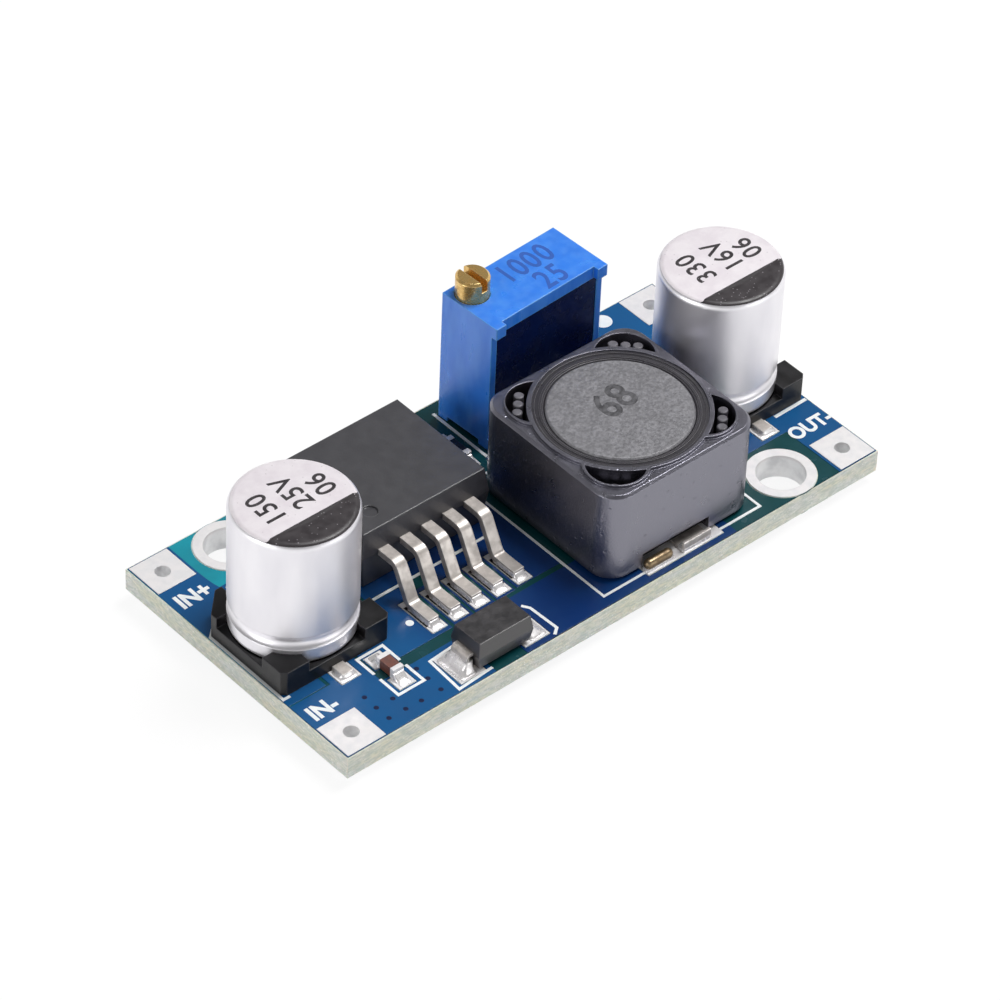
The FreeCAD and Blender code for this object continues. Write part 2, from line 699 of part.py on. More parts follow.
def build_capacitor(name, x, y):
    base = Piece(f"{name}_base")
    half = d.cap_base_side / 2
    nick = d.cap_base_nick
    cut = d.cap_base_chamfer
    plan = base.outline(height=d.land_thickness).polygon([
        (-half + nick, -half), (half - nick, -half), (half, -half + nick), (half, half - cut),
        (half - cut, half), (-half + cut, half), (-half, half - cut), (-half, -half + nick)])
    base.pad(plan, d.cap_block_height)
    block_top = d.land_thickness + d.cap_block_height
    wall_top = d.land_thickness + d.cap_wall_height
    gap = half - d.cap_block_length
    for width, depth in ((half * 2, gap), (gap, half * 2)):
        opening = base.outline(height=block_top).rectangle(-width, -depth, width, depth)
        base.pocket(opening, block_top - wall_top)
    well = base.outline(height=block_top).circle(ZERO, ZERO, d.can_diameter / 2 + d.fit_gap)
    base.pocket(well, block_top - cap_seat)
    for side in (-1, 1):
        groove = terminal_outline(base.outline("YZ_Plane"), side)
        base.pocket(groove, d.cap_tab_width, both_ways=True)
    base.place(x, y, d.board_thickness)

    for sign, side in (("negative", -1), ("positive", 1)):
        terminal = Piece(f"{name}_terminal_{sign}")
        terminal.pad(terminal_outline(terminal.outline("YZ_Plane"), side), d.cap_tab_width, both_ways=True)
        terminal.place(x, y, d.board_thickness)

    can = Piece(f"{name}_can")
    radius = d.can_diameter / 2
    top = cap_seat + d.can_height
    crimp_low = cap_seat + d.crimp_height - d.crimp_width / 2
    crimp_high = cap_seat + d.crimp_height + d.crimp_width / 2
    crimp_arc = (d.crimp_width * d.crimp_width / 4 + d.crimp_depth * d.crimp_depth) / (2 * d.crimp_depth)
    section = can.outline("XZ_Plane").polygon([
        (ZERO, cap_seat),
        (radius - d.can_foot_rounding, cap_seat, d.can_foot_rounding, 1),
        (radius, cap_seat + d.can_foot_rounding),
        (radius, crimp_low, crimp_arc, -1),
        (radius, crimp_high),
        (radius, top - d.can_top_rounding, d.can_top_rounding, 1),
        (radius - d.can_top_rounding, top),
        (ZERO, top)])
    can.revolve(section)
    can.place(x, y, d.board_thickness)


# Regulator, about the middle of its front face with height 0 on the board

tab_front_y = d.regulator_length - d.tab_inside
LEAD_STEPS = (-2, -1, 0, 1, 2)


def moulded_body(piece, half_x, front, back, parting, top, low, draft):
    """Two drafted halves that meet at the parting line."""
    upper = piece.outline(height=parting).rectangle(-half_x, front, half_x, back)
    piece.pad(upper, top - parting, taper=draft)
    lower = piece.outline(height=parting).rectangle(-half_x, front, half_x, back)
    piece.pad(lower, parting - low, backward=True, taper=draft)


def tab_outline(outline):
    half = d.tab_width / 2
    back = d.regulator_length + d.tab_outside
    return outline.polygon([
        (-half, tab_front_y), (half, tab_front_y), (half, back - d.tab_corner),
        (half - d.tab_corner, back), (-half + d.tab_corner, back), (-half, back - d.tab_corner)])


def build_regulator():
    body = Piece("regulator_body")
    moulded_body(body, d.regulator_width / 2, ZERO, d.regulator_length,
                 d.parting_height, d.regulator_top, d.regulator_lift, d.regulator_draft)
    body.pocket(tab_outline(body.outline()), d.land_thickness + d.tab_thickness, backward=True)
    stubs = body.outline("XZ_Plane")
    for step in LEAD_STEPS:
        middle = d.lead_pitch * step
        stubs.rectangle(middle - d.lead_width / 2, d.parting_height - d.lead_thickness / 2,
                        middle + d.lead_width / 2, d.parting_height + d.lead_thickness / 2)
    body.pocket(stubs, d.lead_stub)
    dimple = body.outline(height=d.regulator_top)
    dimple.circle(-d.regulator_width / 2 + d.index_side, d.index_front, d.index_dimple / 2)
    body.pocket(dimple, d.index_dimple_depth)
    body.place(regulator_x, regulator_y, d.board_thickness)

    tab = Piece("regulator_tab")
    tab.pad(tab_outline(tab.outline(height=d.land_thickness)), d.tab_thickness)
    tab.place(regulator_x, regulator_y, d.board_thickness)

    for number, step in enumerate(LEAD_STEPS, start=1):
        build_lead(number, step)


def build_lead(number, step):
    """Gull-wing lead: shoulder, slope and foot, cut from a strip and bent twice."""
    lead = Piece(f"regulator_lead_{number}")
    half = d.lead_thickness / 2
    shift = half * tangent(d.lead_slope / 2)
    foot = d.land_thickness + half
    fall = d.parting_height - foot
    knee = -d.lead_shoulder
    ankle = knee - fall / tangent(d.lead_slope)
    tip = -d.lead_reach
    band = [
        (d.lead_stub, d.parting_height + half),
        (knee - shift, d.parting_height + half),
        (ankle - shift, foot + half),
        (tip, foot + half),
        (tip, foot - half),
        (ankle + shift, foot - half),
        (knee + shift, d.parting_height - half),
        (d.lead_stub, d.parting_height - half)]
    lead.pad(lead.outline("YZ_Plane").polygon(band), d.lead_width, both_ways=True)
    outer = [(float(band[i][0]), float(band[i][1])) for i in (1, 5)]
    inner = [(float(band[i][0]), float(band[i][1])) for i in (2, 6)]
    lead.fillet(along_x_at(outer), d.lead_bend + d.lead_thickness)
    lead.fillet(along_x_at(inner), d.lead_bend)
    lead.place(regulator_x + d.lead_pitch * step, regulator_y, d.board_thickness)


# Inductor, about its axis with height 0 on the board

base_low = d.land_thickness + d.clip_thickness
base_high = base_low + d.base_thickness
pocket_floor = d.shield_top - d.pocket_depth
DIAGONALS = ((1, 1), (-1, 1), (-1, -1), (1, -1))
HALF_ROOT = math.sqrt(0.5)


def rounded_square(outline, half, radius):
    flat = half - radius
    return outline.polygon([
        (flat, -half, radius, 1), (half, -flat),
        (half, flat, radius, 1), (flat, half),
        (-flat, half, radius, 1), (-half, flat),
        (-half, -flat, radius, 1), (-flat, -half)])


def pocket_outline(outline, side_x, side_y, grow):
    """Lens-shaped corner pocket between an arc round the opening and an outer arc."""
    near = shield_bore / 2 + d.pocket_bridge - grow
    far = d.pocket_radius + grow
    centre = pocket_centre
    along = (near * near - far * far + centre * centre) / (2 * centre)
    across = root(near * near - along * along)
    first = (HALF_ROOT * side_x * along - HALF_ROOT * side_y * across,
             HALF_ROOT * side_y * along + HALF_ROOT * side_x * across)
    second = (HALF_ROOT * side_x * along + HALF_ROOT * side_y * across,
              HALF_ROOT * side_y * along - HALF_ROOT * side_x * across)
    return outline.polygon([(*first, near, -1), (*second, far, 1)])


def build_shield():
    shield = Piece("inductor_shield")
    half = shield_side / 2
    shield.pad(rounded_square(shield.outline(height=d.shield_lift), half, d.shield_corner),
               d.shield_top - d.shield_lift)
    shield.chamfer(at_height(float(d.shield_top)), d.shield_edge)
    collar = shield.outline(height=d.shield_top)
    collar.circle(ZERO, ZERO, shield_bore / 2 + d.collar_width)
    shield.pad(collar, d.collar_height)
    for side_x, side_y in DIAGONALS:
        rim = pocket_outline(shield.outline(height=d.shield_top), side_x, side_y, d.collar_width)
        shield.pad(rim, d.collar_height)
    opening = shield.outline(height=d.shield_top + d.collar_height)
    opening.circle(ZERO, ZERO, shield_bore / 2)
    shield.pocket(opening, d.shield_top + d.collar_height)
    for side_x, side_y in DIAGONALS:
        recess = pocket_outline(shield.outline(height=d.shield_top + d.collar_height), side_x, side_y, ZERO)
        shield.pocket(recess, d.collar_height + d.pocket_depth)
    seat = shield.outline(height=d.shield_lift)
    rounded_square(seat, base_side / 2 + d.fit_gap, d.base_corner + d.fit_gap)
    shield.pocket(seat, base_high - d.shield_lift, backward=True)
    doorway = shield.outline("XZ_Plane").rectangle(
        -d.doorway_left, d.shield_lift, d.doorway_right, d.shield_lift + d.doorway_height)
    shield.pocket(doorway, shield_side + d.fit_gap, both_ways=True)
    shield.place(inductor_x, inductor_y, d.board_thickness)


def build_inductor():
    build_shield()

    base = Piece("inductor_base")
    base.pad(rounded_square(base.outline(height=base_low), base_side / 2, d.base_corner), d.base_thickness)
    base.place(inductor_x, inductor_y, d.board_thickness)

    ribs = []
    for corner, (side_x, side_y) in enumerate(DIAGONALS, start=1):
        for step in (-1, 0, 1):
            rib = doc.addObject("Part::Cylinder", f"pocket_rib_{corner}_{step + 2}")
            bind(rib, "Radius", d.rib_radius)
            bind(rib, "Height", d.rib_height)
            x = HALF_ROOT * side_x * rib_centre - HALF_ROOT * side_y * d.rib_pitch * step
            y = HALF_ROOT * side_y * rib_centre + HALF_ROOT * side_x * d.rib_pitch * step
            place(rib, inductor_x + x, inductor_y + y, d.board_thickness + pocket_floor)
            ribs.append(rib)
    group("inductor_corner_ribs", ribs)

    drum = Piece("inductor_drum_core")
    wide = d.drum_diameter / 2
    hub = d.drum_hub / 2
    edge = d.drum_edge
    high = d.drum_top - d.drum_flange
    low = base_high + d.drum_flange
    drum.revolve(drum.outline("XZ_Plane").polygon([
        (ZERO, base_high), (wide, base_high), (wide, low), (hub, low), (hub, high), (wide, high),
        (wide, d.drum_top - edge), (wide - edge, d.drum_top), (ZERO, d.drum_top)]))
    drum.place(inductor_x, inductor_y, d.board_thickness)

    winding = Piece("inductor_winding")
    outer = winding_diameter / 2
    winding.revolve(winding.outline("XZ_Plane").rectangle(hub, low, outer, high))
    winding.place(inductor_x, inductor_y, d.board_thickness)

    bond = Piece("inductor_bond_ring")
    inside = shield_bore / 2
    bond.revolve(bond.outline("XZ_Plane").polygon([
        (wide, d.bond_top - d.bond_depth), (inside, d.bond_top - d.bond_depth), (inside, d.bond_top),
        (wide + d.bond_dish, d.bond_top), (wide, d.bond_top - d.bond_dish)]))
    bond.place(inductor_x, inductor_y, d.board_thickness)

    for name, side in (("front", -1), ("back", 1)):
        build_coil_terminal(name, side)


def build_coil_terminal(name, side):
    """Tinned clip bent up in front of the doorway, and the wire end beside it."""
    clip = Piece(f"inductor_clip_{name}")
    inner = side * (terminal_reach - d.clip_thickness)
    outer = side * terminal_reach
    heel = side * (terminal_reach - d.clip_length)
    low = d.land_thickness
    clip.pad(clip.outline("YZ_Plane").polygon([
        (heel, low), (outer, low), (outer, low + d.clip_height), (inner, low + d.clip_height),
        (inner, base_low), (heel, base_low)]), d.clip_width, both_ways=True)
    clip.place(inductor_x + d.clip_offset, inductor_y, d.board_thickness)

    wire = Piece(f"inductor_wire_end_{name}")
    straight = d.wire_end_length / 2 - d.wire_end_radius
    wire.revolve(wire.outline("XZ_Plane").polygon([
        (-straight - d.wire_end_radius, ZERO), (straight + d.wire_end_radius, ZERO, d.wire_end_radius, 1),
        (straight, d.wire_end_radius), (-straight, d.wire_end_radius, d.wire_end_radius, 1)]), axis="H_Axis")
    wire_y = inductor_y + side * (terminal_reach - d.wire_end_radius)
    wire_z = d.board_thickness + d.land_thickness + d.wire_end_radius
    wire.place(inductor_x - d.wire_end_offset, wire_y, wire_z)


# Trimmer, about the middle of its housing with height 0 on the board

housing_half = d.trimmer_length / 2
housing_back_y = d.trimmer_depth / 2
nib_front = -d.trimmer_depth / 2
housing_front = nib_front + d.nib_depth
cavity_left = -housing_half + d.housing_side
cavity_right = housing_half - d.housing_side
cavity_back = housing_back_y - d.housing_back
cavity_low = d.trimmer_standoff + d.housing_floor
cavity_high = d.trimmer_height - d.housing_roof
screw_x = -housing_half + d.screw_side
screw_y = housing_back_y - d.screw_back
wheel_pitch_radius = d.wheel_teeth * d.worm_lead / (2 * math.pi)
wheel_x = screw_x + d.worm_pitch_radius + wheel_pitch_radius
rim_front = screw_y - d.wheel_rim / 2
rim_back = screw_y + d.wheel_rim / 2
wheel_front = rim_front - d.hub_front
wheel_rear = rim_back + d.hub_rear
tooth_half = d.worm_lead / 4 - d.flank_gap
tooth_tip_half = tooth_half - d.addendum * tangent(d.flank_angle)
tooth_root_half = tooth_half + d.dedendum * tangent(d.flank_angle)


def on_housing(piece, x=ZERO, y=ZERO, height=ZERO):
    """Place a piece of the trimmer, which is turned a little on the board."""
    board_x, board_y = on_trimmer(x, y)
    piece.place(board_x, board_y, d.board_thickness + height, d.trimmer_skew)


def build_housing():
    housing = Piece("trimmer_housing")
    plan = housing.outline(height=d.trimmer_standoff)
    plan.rectangle(-housing_half, housing_front, housing_half, housing_back_y)
    housing.pad(plan, d.trimmer_height - d.trimmer_standoff)
    nib_spans = ((-housing_half, -housing_half + d.nib_width), (housing_half - d.nib_width, housing_half))
    for left, right in nib_spans:
        upper = housing.outline(height=d.trimmer_height).rectangle(left, nib_front, right, housing_front)
        housing.pad(upper, d.nib_height, backward=True)
        lower = housing.outline().rectangle(left, nib_front, right, housing_front)
        housing.pad(lower, d.nib_height)
        for foot_front in (housing_front, housing_back_y - d.nib_width):
            foot = housing.outline().rectangle(left, foot_front, right, foot_front + d.nib_width)
            housing.pad(foot, d.trimmer_standoff)
    cavity = housing.outline("XZ_Plane", height=-housing_front)
    cavity.rectangle(cavity_left, cavity_low, cavity_right, cavity_high)
    housing.pocket(cavity, cavity_back - housing_front)
    axle = housing.outline("XZ_Plane", height=-cavity_back).circle(wheel_x, d.wheel_height, d.axle_radius)
    housing.pad(axle, cavity_back - rim_front)
    boss = housing.outline(height=cavity_low).circle(screw_x, screw_y, d.boss_radius)
    housing.pad(boss, d.boss_height)
    bearing = housing.outline(height=cavity_low + d.boss_height)
    bearing.circle(screw_x, screw_y, d.pivot_radius + d.screw_gap)
    housing.pocket(bearing, d.pivot_depth)
    mouth = housing.outline(height=d.trimmer_height)
    mouth.circle(screw_x, screw_y, d.screw_diameter / 2 + d.screw_gap)
    housing.pocket(mouth, d.housing_roof)
    pins = housing.outline(height=cavity_low)
    for step in PIN_STEPS:
        pins.circle(d.pin_pitch * step, pin_y, d.pin_diameter / 2)
    housing.pocket(pins, d.housing_floor)
    on_housing(housing)


def build_screw():
    """Brass screw: slotted head, seal groove, worm and lower pivot, about its own axis."""
    screw = Piece("trimmer_screw")
    head = d.screw_diameter / 2
    core = d.worm_pitch_radius - d.dedendum
    groove_radius = head - d.seal_section
    groove_high = d.trimmer_height - d.seal_centre + d.seal_section / 2
    groove_low = groove_high - d.seal_section
    pivot_high = cavity_low + d.boss_height
    pivot_low = pivot_high - d.pivot_depth + d.screw_gap
    screw.revolve(screw.outline("XZ_Plane").polygon([
        (ZERO, pivot_low), (d.pivot_radius, pivot_low), (d.pivot_radius, pivot_high + d.screw_gap),
        (core, pivot_high + d.screw_gap), (core, cavity_high + d.screw_gap),
        (head, cavity_high + d.screw_gap), (head, groove_low), (groove_radius, groove_low),
        (groove_radius, groove_high), (head, groove_high), (head, d.screw_top - d.screw_bevel),
        (head - d.screw_bevel, d.screw_top), (ZERO, d.screw_top)]))
    slot = screw.outline(height=d.screw_top).rectangle(-d.slot_width / 2, -head, d.slot_width / 2, head)
    screw.pocket(slot, d.slot_depth)
    thread = screw.outline("XZ_Plane")
    start = d.wheel_height - d.worm_lead * d.worm_turns / 2
    tip = d.worm_pitch_radius + d.addendum
    thread.polygon([
        (core - d.tooth_root, start - tooth_root_half), (tip, start - tooth_tip_half),
        (tip, start + tooth_tip_half), (core - d.tooth_root, start + tooth_root_half)])
    doc.recompute()
    helix = screw.feature("AdditiveHelix")
    helix.Profile = (thread.sketch, [""])
    helix.ReferenceAxis = (thread.sketch, ["V_Axis"])
    helix.Mode = "pitch-height-angle"
    bind(helix, "Pitch", d.worm_lead)
    bind(helix, "Height", d.worm_lead * d.worm_turns)
    on_housing(screw, screw_x, screw_y)

    seal = Piece("trimmer_seal_ring")
    middle = groove_radius + d.seal_section / 2
    half = d.seal_section / 2 - d.fit_gap / 2
    seal.revolve(seal.outline("XZ_Plane", ZERO).circle(middle, groove_low + d.seal_section / 2, half))
    on_housing(seal, screw_x, screw_y)


def build_wheel():
    """Worm wheel on its stub axle, with the wiper on its front face."""
    rotor = Piece("trimmer_rotor")
    root_radius = wheel_pitch_radius - d.dedendum
    tip_radius = wheel_pitch_radius + d.addendum
    rim = rotor.outline("XZ_Plane", height=-rim_back).circle(ZERO, ZERO, root_radius)
    rotor.pad(rim, d.wheel_rim)
    front_hub = rotor.outline("XZ_Plane", height=-rim_front).circle(ZERO, ZERO, d.hub_radius)
    rotor.pad(front_hub, d.hub_front)
    rear_hub = rotor.outline("XZ_Plane", height=-wheel_rear)
    rear_hub.circle(ZERO, ZERO, d.rear_hub_radius)
    rotor.pad(rear_hub, d.hub_rear)
    bore = rotor.outline("XZ_Plane", height=-wheel_rear).circle(ZERO, ZERO, d.axle_radius + d.axle_gap)
    rotor.pocket(bore, wheel_rear - rim_front + d.axle_gap, backward=True)
    tooth = rotor.outline("XZ_Plane", height=-rim_back).polygon([
        (-root_radius + d.tooth_root, -tooth_root_half), (-tip_radius, -tooth_tip_half),
        (-tip_radius, tooth_tip_half), (-root_radius + d.tooth_root, tooth_root_half)])
    tooth_pad = rotor.pad(tooth, d.wheel_rim)
    rotor.around(tooth_pad, tooth, d.wheel_teeth)
    on_housing(rotor, wheel_x, ZERO, d.wheel_height)

    wiper = Piece("trimmer_wiper")
    ring = wiper.outline("XZ_Plane", height=-wheel_front)
    ring.circle(ZERO, ZERO, d.wiper_radius)
    ring.circle(ZERO, ZERO, d.wiper_bore)
    wiper.pad(ring, d.wiper_thickness)
    contacts = wiper.outline("XZ_Plane", height=-wheel_front)
    for side in (-1, 1):
        contacts.circle(ZERO, side * d.contact_offset, d.contact_radius)
    wiper.pad(contacts, wheel_front - element_front - d.element_thickness - d.contact_gap)
    on_housing(wiper, wheel_x, ZERO, d.wheel_height)


def build_trimmer():
    build_housing()
    build_screw()
    build_wheel()

    element = Piece("trimmer_element")
    half = d.element_side / 2
    element.pad(element.outline("XZ_Plane", height=-element_front).rectangle(-half, -half, half, half),
                d.element_thickness, backward=True)
    on_housing(element, wheel_x, ZERO, d.wheel_height)

    potting = Piece("trimmer_potting")
    fill = potting.outline("XZ_Plane", height=-element_front)
    fill.rectangle(cavity_left, cavity_low, cavity_right, cavity_high)
    potting.pad(fill, element_front - housing_front - d.potting_recess)
    channels = potting.outline(height=cavity_low)
    for step in PIN_STEPS:
        channels.circle(d.pin_pitch * step, pin_y, d.pin_diameter / 2)
    potting.pocket(channels, d.pin_top - cavity_low, backward=True)
    on_housing(potting)

    for number, step in enumerate(PIN_STEPS, start=1):
        pin = Piece(f"trimmer_pin_{number}")
        low = -d.board_thickness - d.pin_below
        pin.pad(pin.outline(height=low).circle(ZERO, ZERO, d.pin_diameter / 2), d.pin_top - low)
        on_housing(pin, d.pin_pitch * step, pin_y)
    build_pin_solder()


def build_pin_solder():
    """Solder cone round each pin under the board, and the solder in its hole."""
    cones = []
    for number, (x, y) in enumerate(pin_places, start=1):
        cone = Piece(f"solder_cone_{number}", listed=False)
        pin = d.pin_diameter / 2
        low = -d.land_thickness
        cone.revolve(cone.outline("XZ_Plane").polygon([
            (pin, low - d.solder_height), (d.solder_tip / 2, low - d.solder_height),
            (d.solder_skirt / 2, low), (pin_eyelet_bore, low), (pin_eyelet_bore, d.board_thickness),
            (pin, d.board_thickness)]))
        cone.place(x, y, ZERO)
        cones.append(cone.body)
    group("trimmer_pin_solder", cones)


# Diode and chips

def build_diode():
    body = Piece("diode_body")
    moulded_body(body, d.diode_length / 2, -d.diode_width / 2, d.diode_width / 2,
                 d.diode_parting, d.diode_top, d.diode_lift, d.diode_draft)
    half = d.strap_thickness / 2
    stubs = body.outline("XZ_Plane")
    for side in (-1, 1):
        ends = sorted((side * (d.diode_length / 2 - d.strap_stub), side * d.diode_length / 2), key=float)
        stubs.rectangle(ends[0], d.diode_parting - half, ends[1], d.diode_parting + half)
    body.pocket(stubs, d.strap_width, both_ways=True)
    body.place(diode_x, diode_y, d.board_thickness)

    for name, side in (("input", -1), ("output", 1)):
        strap = Piece(f"diode_terminal_{name}")
        outer = side * d.strap_reach
        inner = side * (d.strap_reach - d.strap_thickness)
        root_x = side * (d.diode_length / 2 - d.strap_stub)
        toe = side * (d.strap_reach - d.strap_foot)
        low = d.land_thickness
        high = d.diode_parting + half
        band = [
            (root_x, high), (outer, high), (outer, low), (toe, low), (toe, low + d.strap_thickness),
            (inner, low + d.strap_thickness), (inner, d.diode_parting - half),
            (root_x, d.diode_parting - half)]
        strap.pad(strap.outline("XZ_Plane").polygon(band), d.strap_width, both_ways=True)
        bends = [(float(band[i][0]), float(band[i][1])) for i in (1, 2)]
        strap.fillet(along_y_at(bends), d.strap_bend + d.strap_thickness)
        strap.place(diode_x, diode_y, d.board_thickness)


def build_chip(name, x, y, length, width, height, end):
    """Chip with its length along Y: a core and two metal end caps that wrap over it."""
    half_x = width / 2 - d.cap_skin
    half_y = length / 2 - d.cap_skin
    low = d.land_thickness + d.cap_skin
    core = Piece(f"{name}_body")
    core.pad(core.outline(height=low).rectangle(-half_x, -half_y, half_x, half_y), height - d.cap_skin * 2)
    core.place(x, y, d.board_thickness)
    caps = []
    for side in (-1, 1):
        cap = Piece(f"{name}_cap_{2 + side}", listed=False)
        ends = sorted((side * (length / 2 - end), side * length / 2), key=float)
        plan = cap.outline(height=d.land_thickness).rectangle(-width / 2, ends[0], width / 2, ends[1])
        cap.pad(plan, height)
        ends = sorted((side * (length / 2 - end), side * half_y), key=float)
        socket = cap.outline("YZ_Plane").rectangle(ends[0], low, ends[1], low + height - d.cap_skin * 2)
        cap.pocket(socket, half_x * 2, both_ways=True)
        cap.place(x, y, d.board_thickness)
        caps.append(cap.body)
    group(f"{name}_ends", caps)


def build_all():
    build_board()
    build_eyelets()
    build_lands()
    build_capacitor("input_capacitor", *cap_in)
    build_capacitor("output_capacitor", *cap_out)
    build_regulator()
    build_inductor()
    build_trimmer()
    build_diode()
    build_chip("chip_capacitor", chip_cap_x, chip_cap_y,
               d.chip_cap_length, d.chip_cap_width, d.chip_cap_height, d.chip_cap_end)
    build_chip("chip_resistor", chip_res_x, chip_res_y,
               d.chip_res_length, d.chip_res_width, d.chip_res_height, d.chip_res_end)


def write_all():
    """Stop on any failed object or bad shape, then write one file for each sub-part."""
    doc.recompute()
    for item in doc.Objects:
        if "Invalid" in item.State or "Error" in item.State:
            raise RuntimeError(f"{item.Label} failed: {item.State}")
    for item in subparts:
        if item.Shape.isNull() or not item.Shape.isValid():
            raise RuntimeError(f"{item.Label} has no sound shape")
    for item in subparts:
        item.Shape.exportStep(f"parts/{item.Label}.step")
    print(len(subparts), "sub-parts written")


build_all()
write_all()
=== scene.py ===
import logging
import math
from dataclasses import dataclass, field
from enum import Enum
from typing import Optional

import bmesh
import bpy
from mathutils import Matrix, Vector


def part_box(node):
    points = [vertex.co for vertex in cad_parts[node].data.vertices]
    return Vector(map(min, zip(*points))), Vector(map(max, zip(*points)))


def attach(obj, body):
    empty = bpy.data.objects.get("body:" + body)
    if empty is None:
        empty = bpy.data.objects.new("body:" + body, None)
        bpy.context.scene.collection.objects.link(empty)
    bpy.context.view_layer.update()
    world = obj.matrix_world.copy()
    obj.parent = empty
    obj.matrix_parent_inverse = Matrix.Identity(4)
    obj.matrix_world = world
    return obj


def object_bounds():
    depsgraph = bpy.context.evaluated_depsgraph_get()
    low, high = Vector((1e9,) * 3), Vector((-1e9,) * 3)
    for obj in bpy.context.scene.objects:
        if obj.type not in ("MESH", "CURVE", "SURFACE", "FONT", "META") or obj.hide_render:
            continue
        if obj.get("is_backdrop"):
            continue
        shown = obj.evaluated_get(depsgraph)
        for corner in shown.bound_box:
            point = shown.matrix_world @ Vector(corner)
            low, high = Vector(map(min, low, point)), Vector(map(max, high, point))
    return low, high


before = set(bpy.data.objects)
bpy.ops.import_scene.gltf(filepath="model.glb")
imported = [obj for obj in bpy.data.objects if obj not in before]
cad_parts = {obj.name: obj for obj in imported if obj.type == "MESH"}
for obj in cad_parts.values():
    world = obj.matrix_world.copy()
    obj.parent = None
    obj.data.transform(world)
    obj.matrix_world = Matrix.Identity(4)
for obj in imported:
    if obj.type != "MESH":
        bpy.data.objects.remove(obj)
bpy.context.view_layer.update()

log = logging.getLogger("buck_converter")

MODULE = "module"
LANDS = "surface_lands"
CORNER_PADS = tuple(f"corner_pad_{end}_{sign}" for end in ("in", "out")
                    for sign in ("negative", "positive"))
MOUNT_RINGS = ("mount_ring_input", "mount_ring_output")
# The board's left front corner in the frame, in mm: places on the board are measured from it.
CORNER_X = -21.6
CORNER_Y = -10.5
# Heights above the board's underside, in mm.
LAMINATE_TOP = 1.6
MASK_TOP = 1.625
MASKED_COPPER_TOP = 1.655
LEGEND_TOP = 1.668
LAND_TOP = 1.67
# A figure of Blender's own typeface stands this high against the typeface's size.
FIGURE_SHARE = 0.73
# Coats and prints start this far below the face that they lie on, in mm, so that no gap shows.
COAT_SUNK = 0.005
PRINT_SUNK = 0.01
# Points of a curve's mesh closer than this are one, in metres.
MERGE = 1e-7
# How far light goes into a translucent moulding, in metres.
LIGHT_DEPTH = 0.0004
COAT_ROUGHNESS = 0.1
# Noise between these two values goes from no patch to a full one, and from smooth to rough.
PATCH_RANGE = (0.38, 0.64)
ROUGH_RANGE = (0.3, 0.7)
# This much of a speck has its full strength.
SPECK_CORE = 0.6
# How far the rounded normal agrees with the face's own: where the edge colour starts and is full.
# That colour is rubbing and, where lighter, partly a painted edge highlight.
RUB_AND_HIGHLIGHT_RANGE = (0.998, 0.86)
# From this share of metal up, a finish keeps the shader's own IOR.
METAL_SHARE = 0.5

Point = tuple[float, float]
Box = tuple[float, float, float, float]


def linear(code: str) -> tuple[float, float, float, float]:
    """Turns an sRGB hex colour into linear RGBA.

    Args:
        code: The colour as "#RRGGBB".
    Returns:
        Linear red, green, blue and an alpha of one.
    """
    values = [int(code[i:i + 2], 16) / 255 for i in (1, 3, 5)]
    red, green, blue = [v / 12.92 if v <= 0.04045 else ((v + 0.055) / 1.055) ** 2.4 for v in values]
    return red, green, blue, 1.0


def metres(x: float, y: float, z: float = 0.0) -> Vector:
    """Turns a place in mm into metres."""
    return Vector((x, y, z)) / 1000


def on_board(x: float, y: float) -> Point:
    """Turns a place from the board's own corner into the frame, both in mm."""
    return x + CORNER_X, y + CORNER_Y


def add_node(tree: bpy.types.NodeTree, kind: str, settings: Optional[dict] = None,
             links: Optional[dict] = None) -> bpy.types.Node:
    """Adds one shader node.

    Args:
        tree: The node tree that gets it.
        kind: The node's type name.
        settings: Values by property name, or by socket name or number.
        links: Output sockets by the name or number of the input that they feed.
    Returns:
        The new node.
    """
    node = tree.nodes.new(kind)
    for key, value in (settings or {}).items():
        if isinstance(key, str) and hasattr(node, key):
            setattr(node, key, value)
        else:
            node.inputs[key].default_value = value
    for key, socket in (links or {}).items():
        tree.links.new(socket, node.inputs[key])
    return node


@dataclass(frozen=True)
class Mottle:
    """Soft patches of a second colour.

    Fields: the second colour, the patches' size in mm, how much of it at most, how far the
    roughness wanders with the patches, and the pattern's scale along each axis.
    """

    colour: str
    size: float
    amount: float
    roughness: float = 0.0
    stretch: tuple[float, float, float] = (1.0, 1.0, 1.0)


@dataclass(frozen=True)
class Specks:
    """Dots or pits: colour, spacing in mm, share of that spacing, strength and depth in mm."""

    colour: str
    spacing: float
    share: float
    amount: float
    depth: float = 0.0


@dataclass(frozen=True)
class Grain:
    """Fine relief: its size and height in mm, and its scale along each axis."""

    size: float
    height: float
    stretch: tuple[float, float, float] = (1.0, 1.0, 1.0)


@dataclass(frozen=True)
class Edge:
    """Rounded and rubbed edges: their radius in mm, colour and the amount of that colour. A lighter
    edge colour is partly a painted edge highlight.
    """

    radius: float
    colour: str
    amount: float


@dataclass(frozen=True)
class PaintedLightFade:
    """Painted light or shade: a slow change to a second colour between two places, in metres."""

    colour: str
    start: tuple[float, float, float]
    end: tuple[float, float, float]


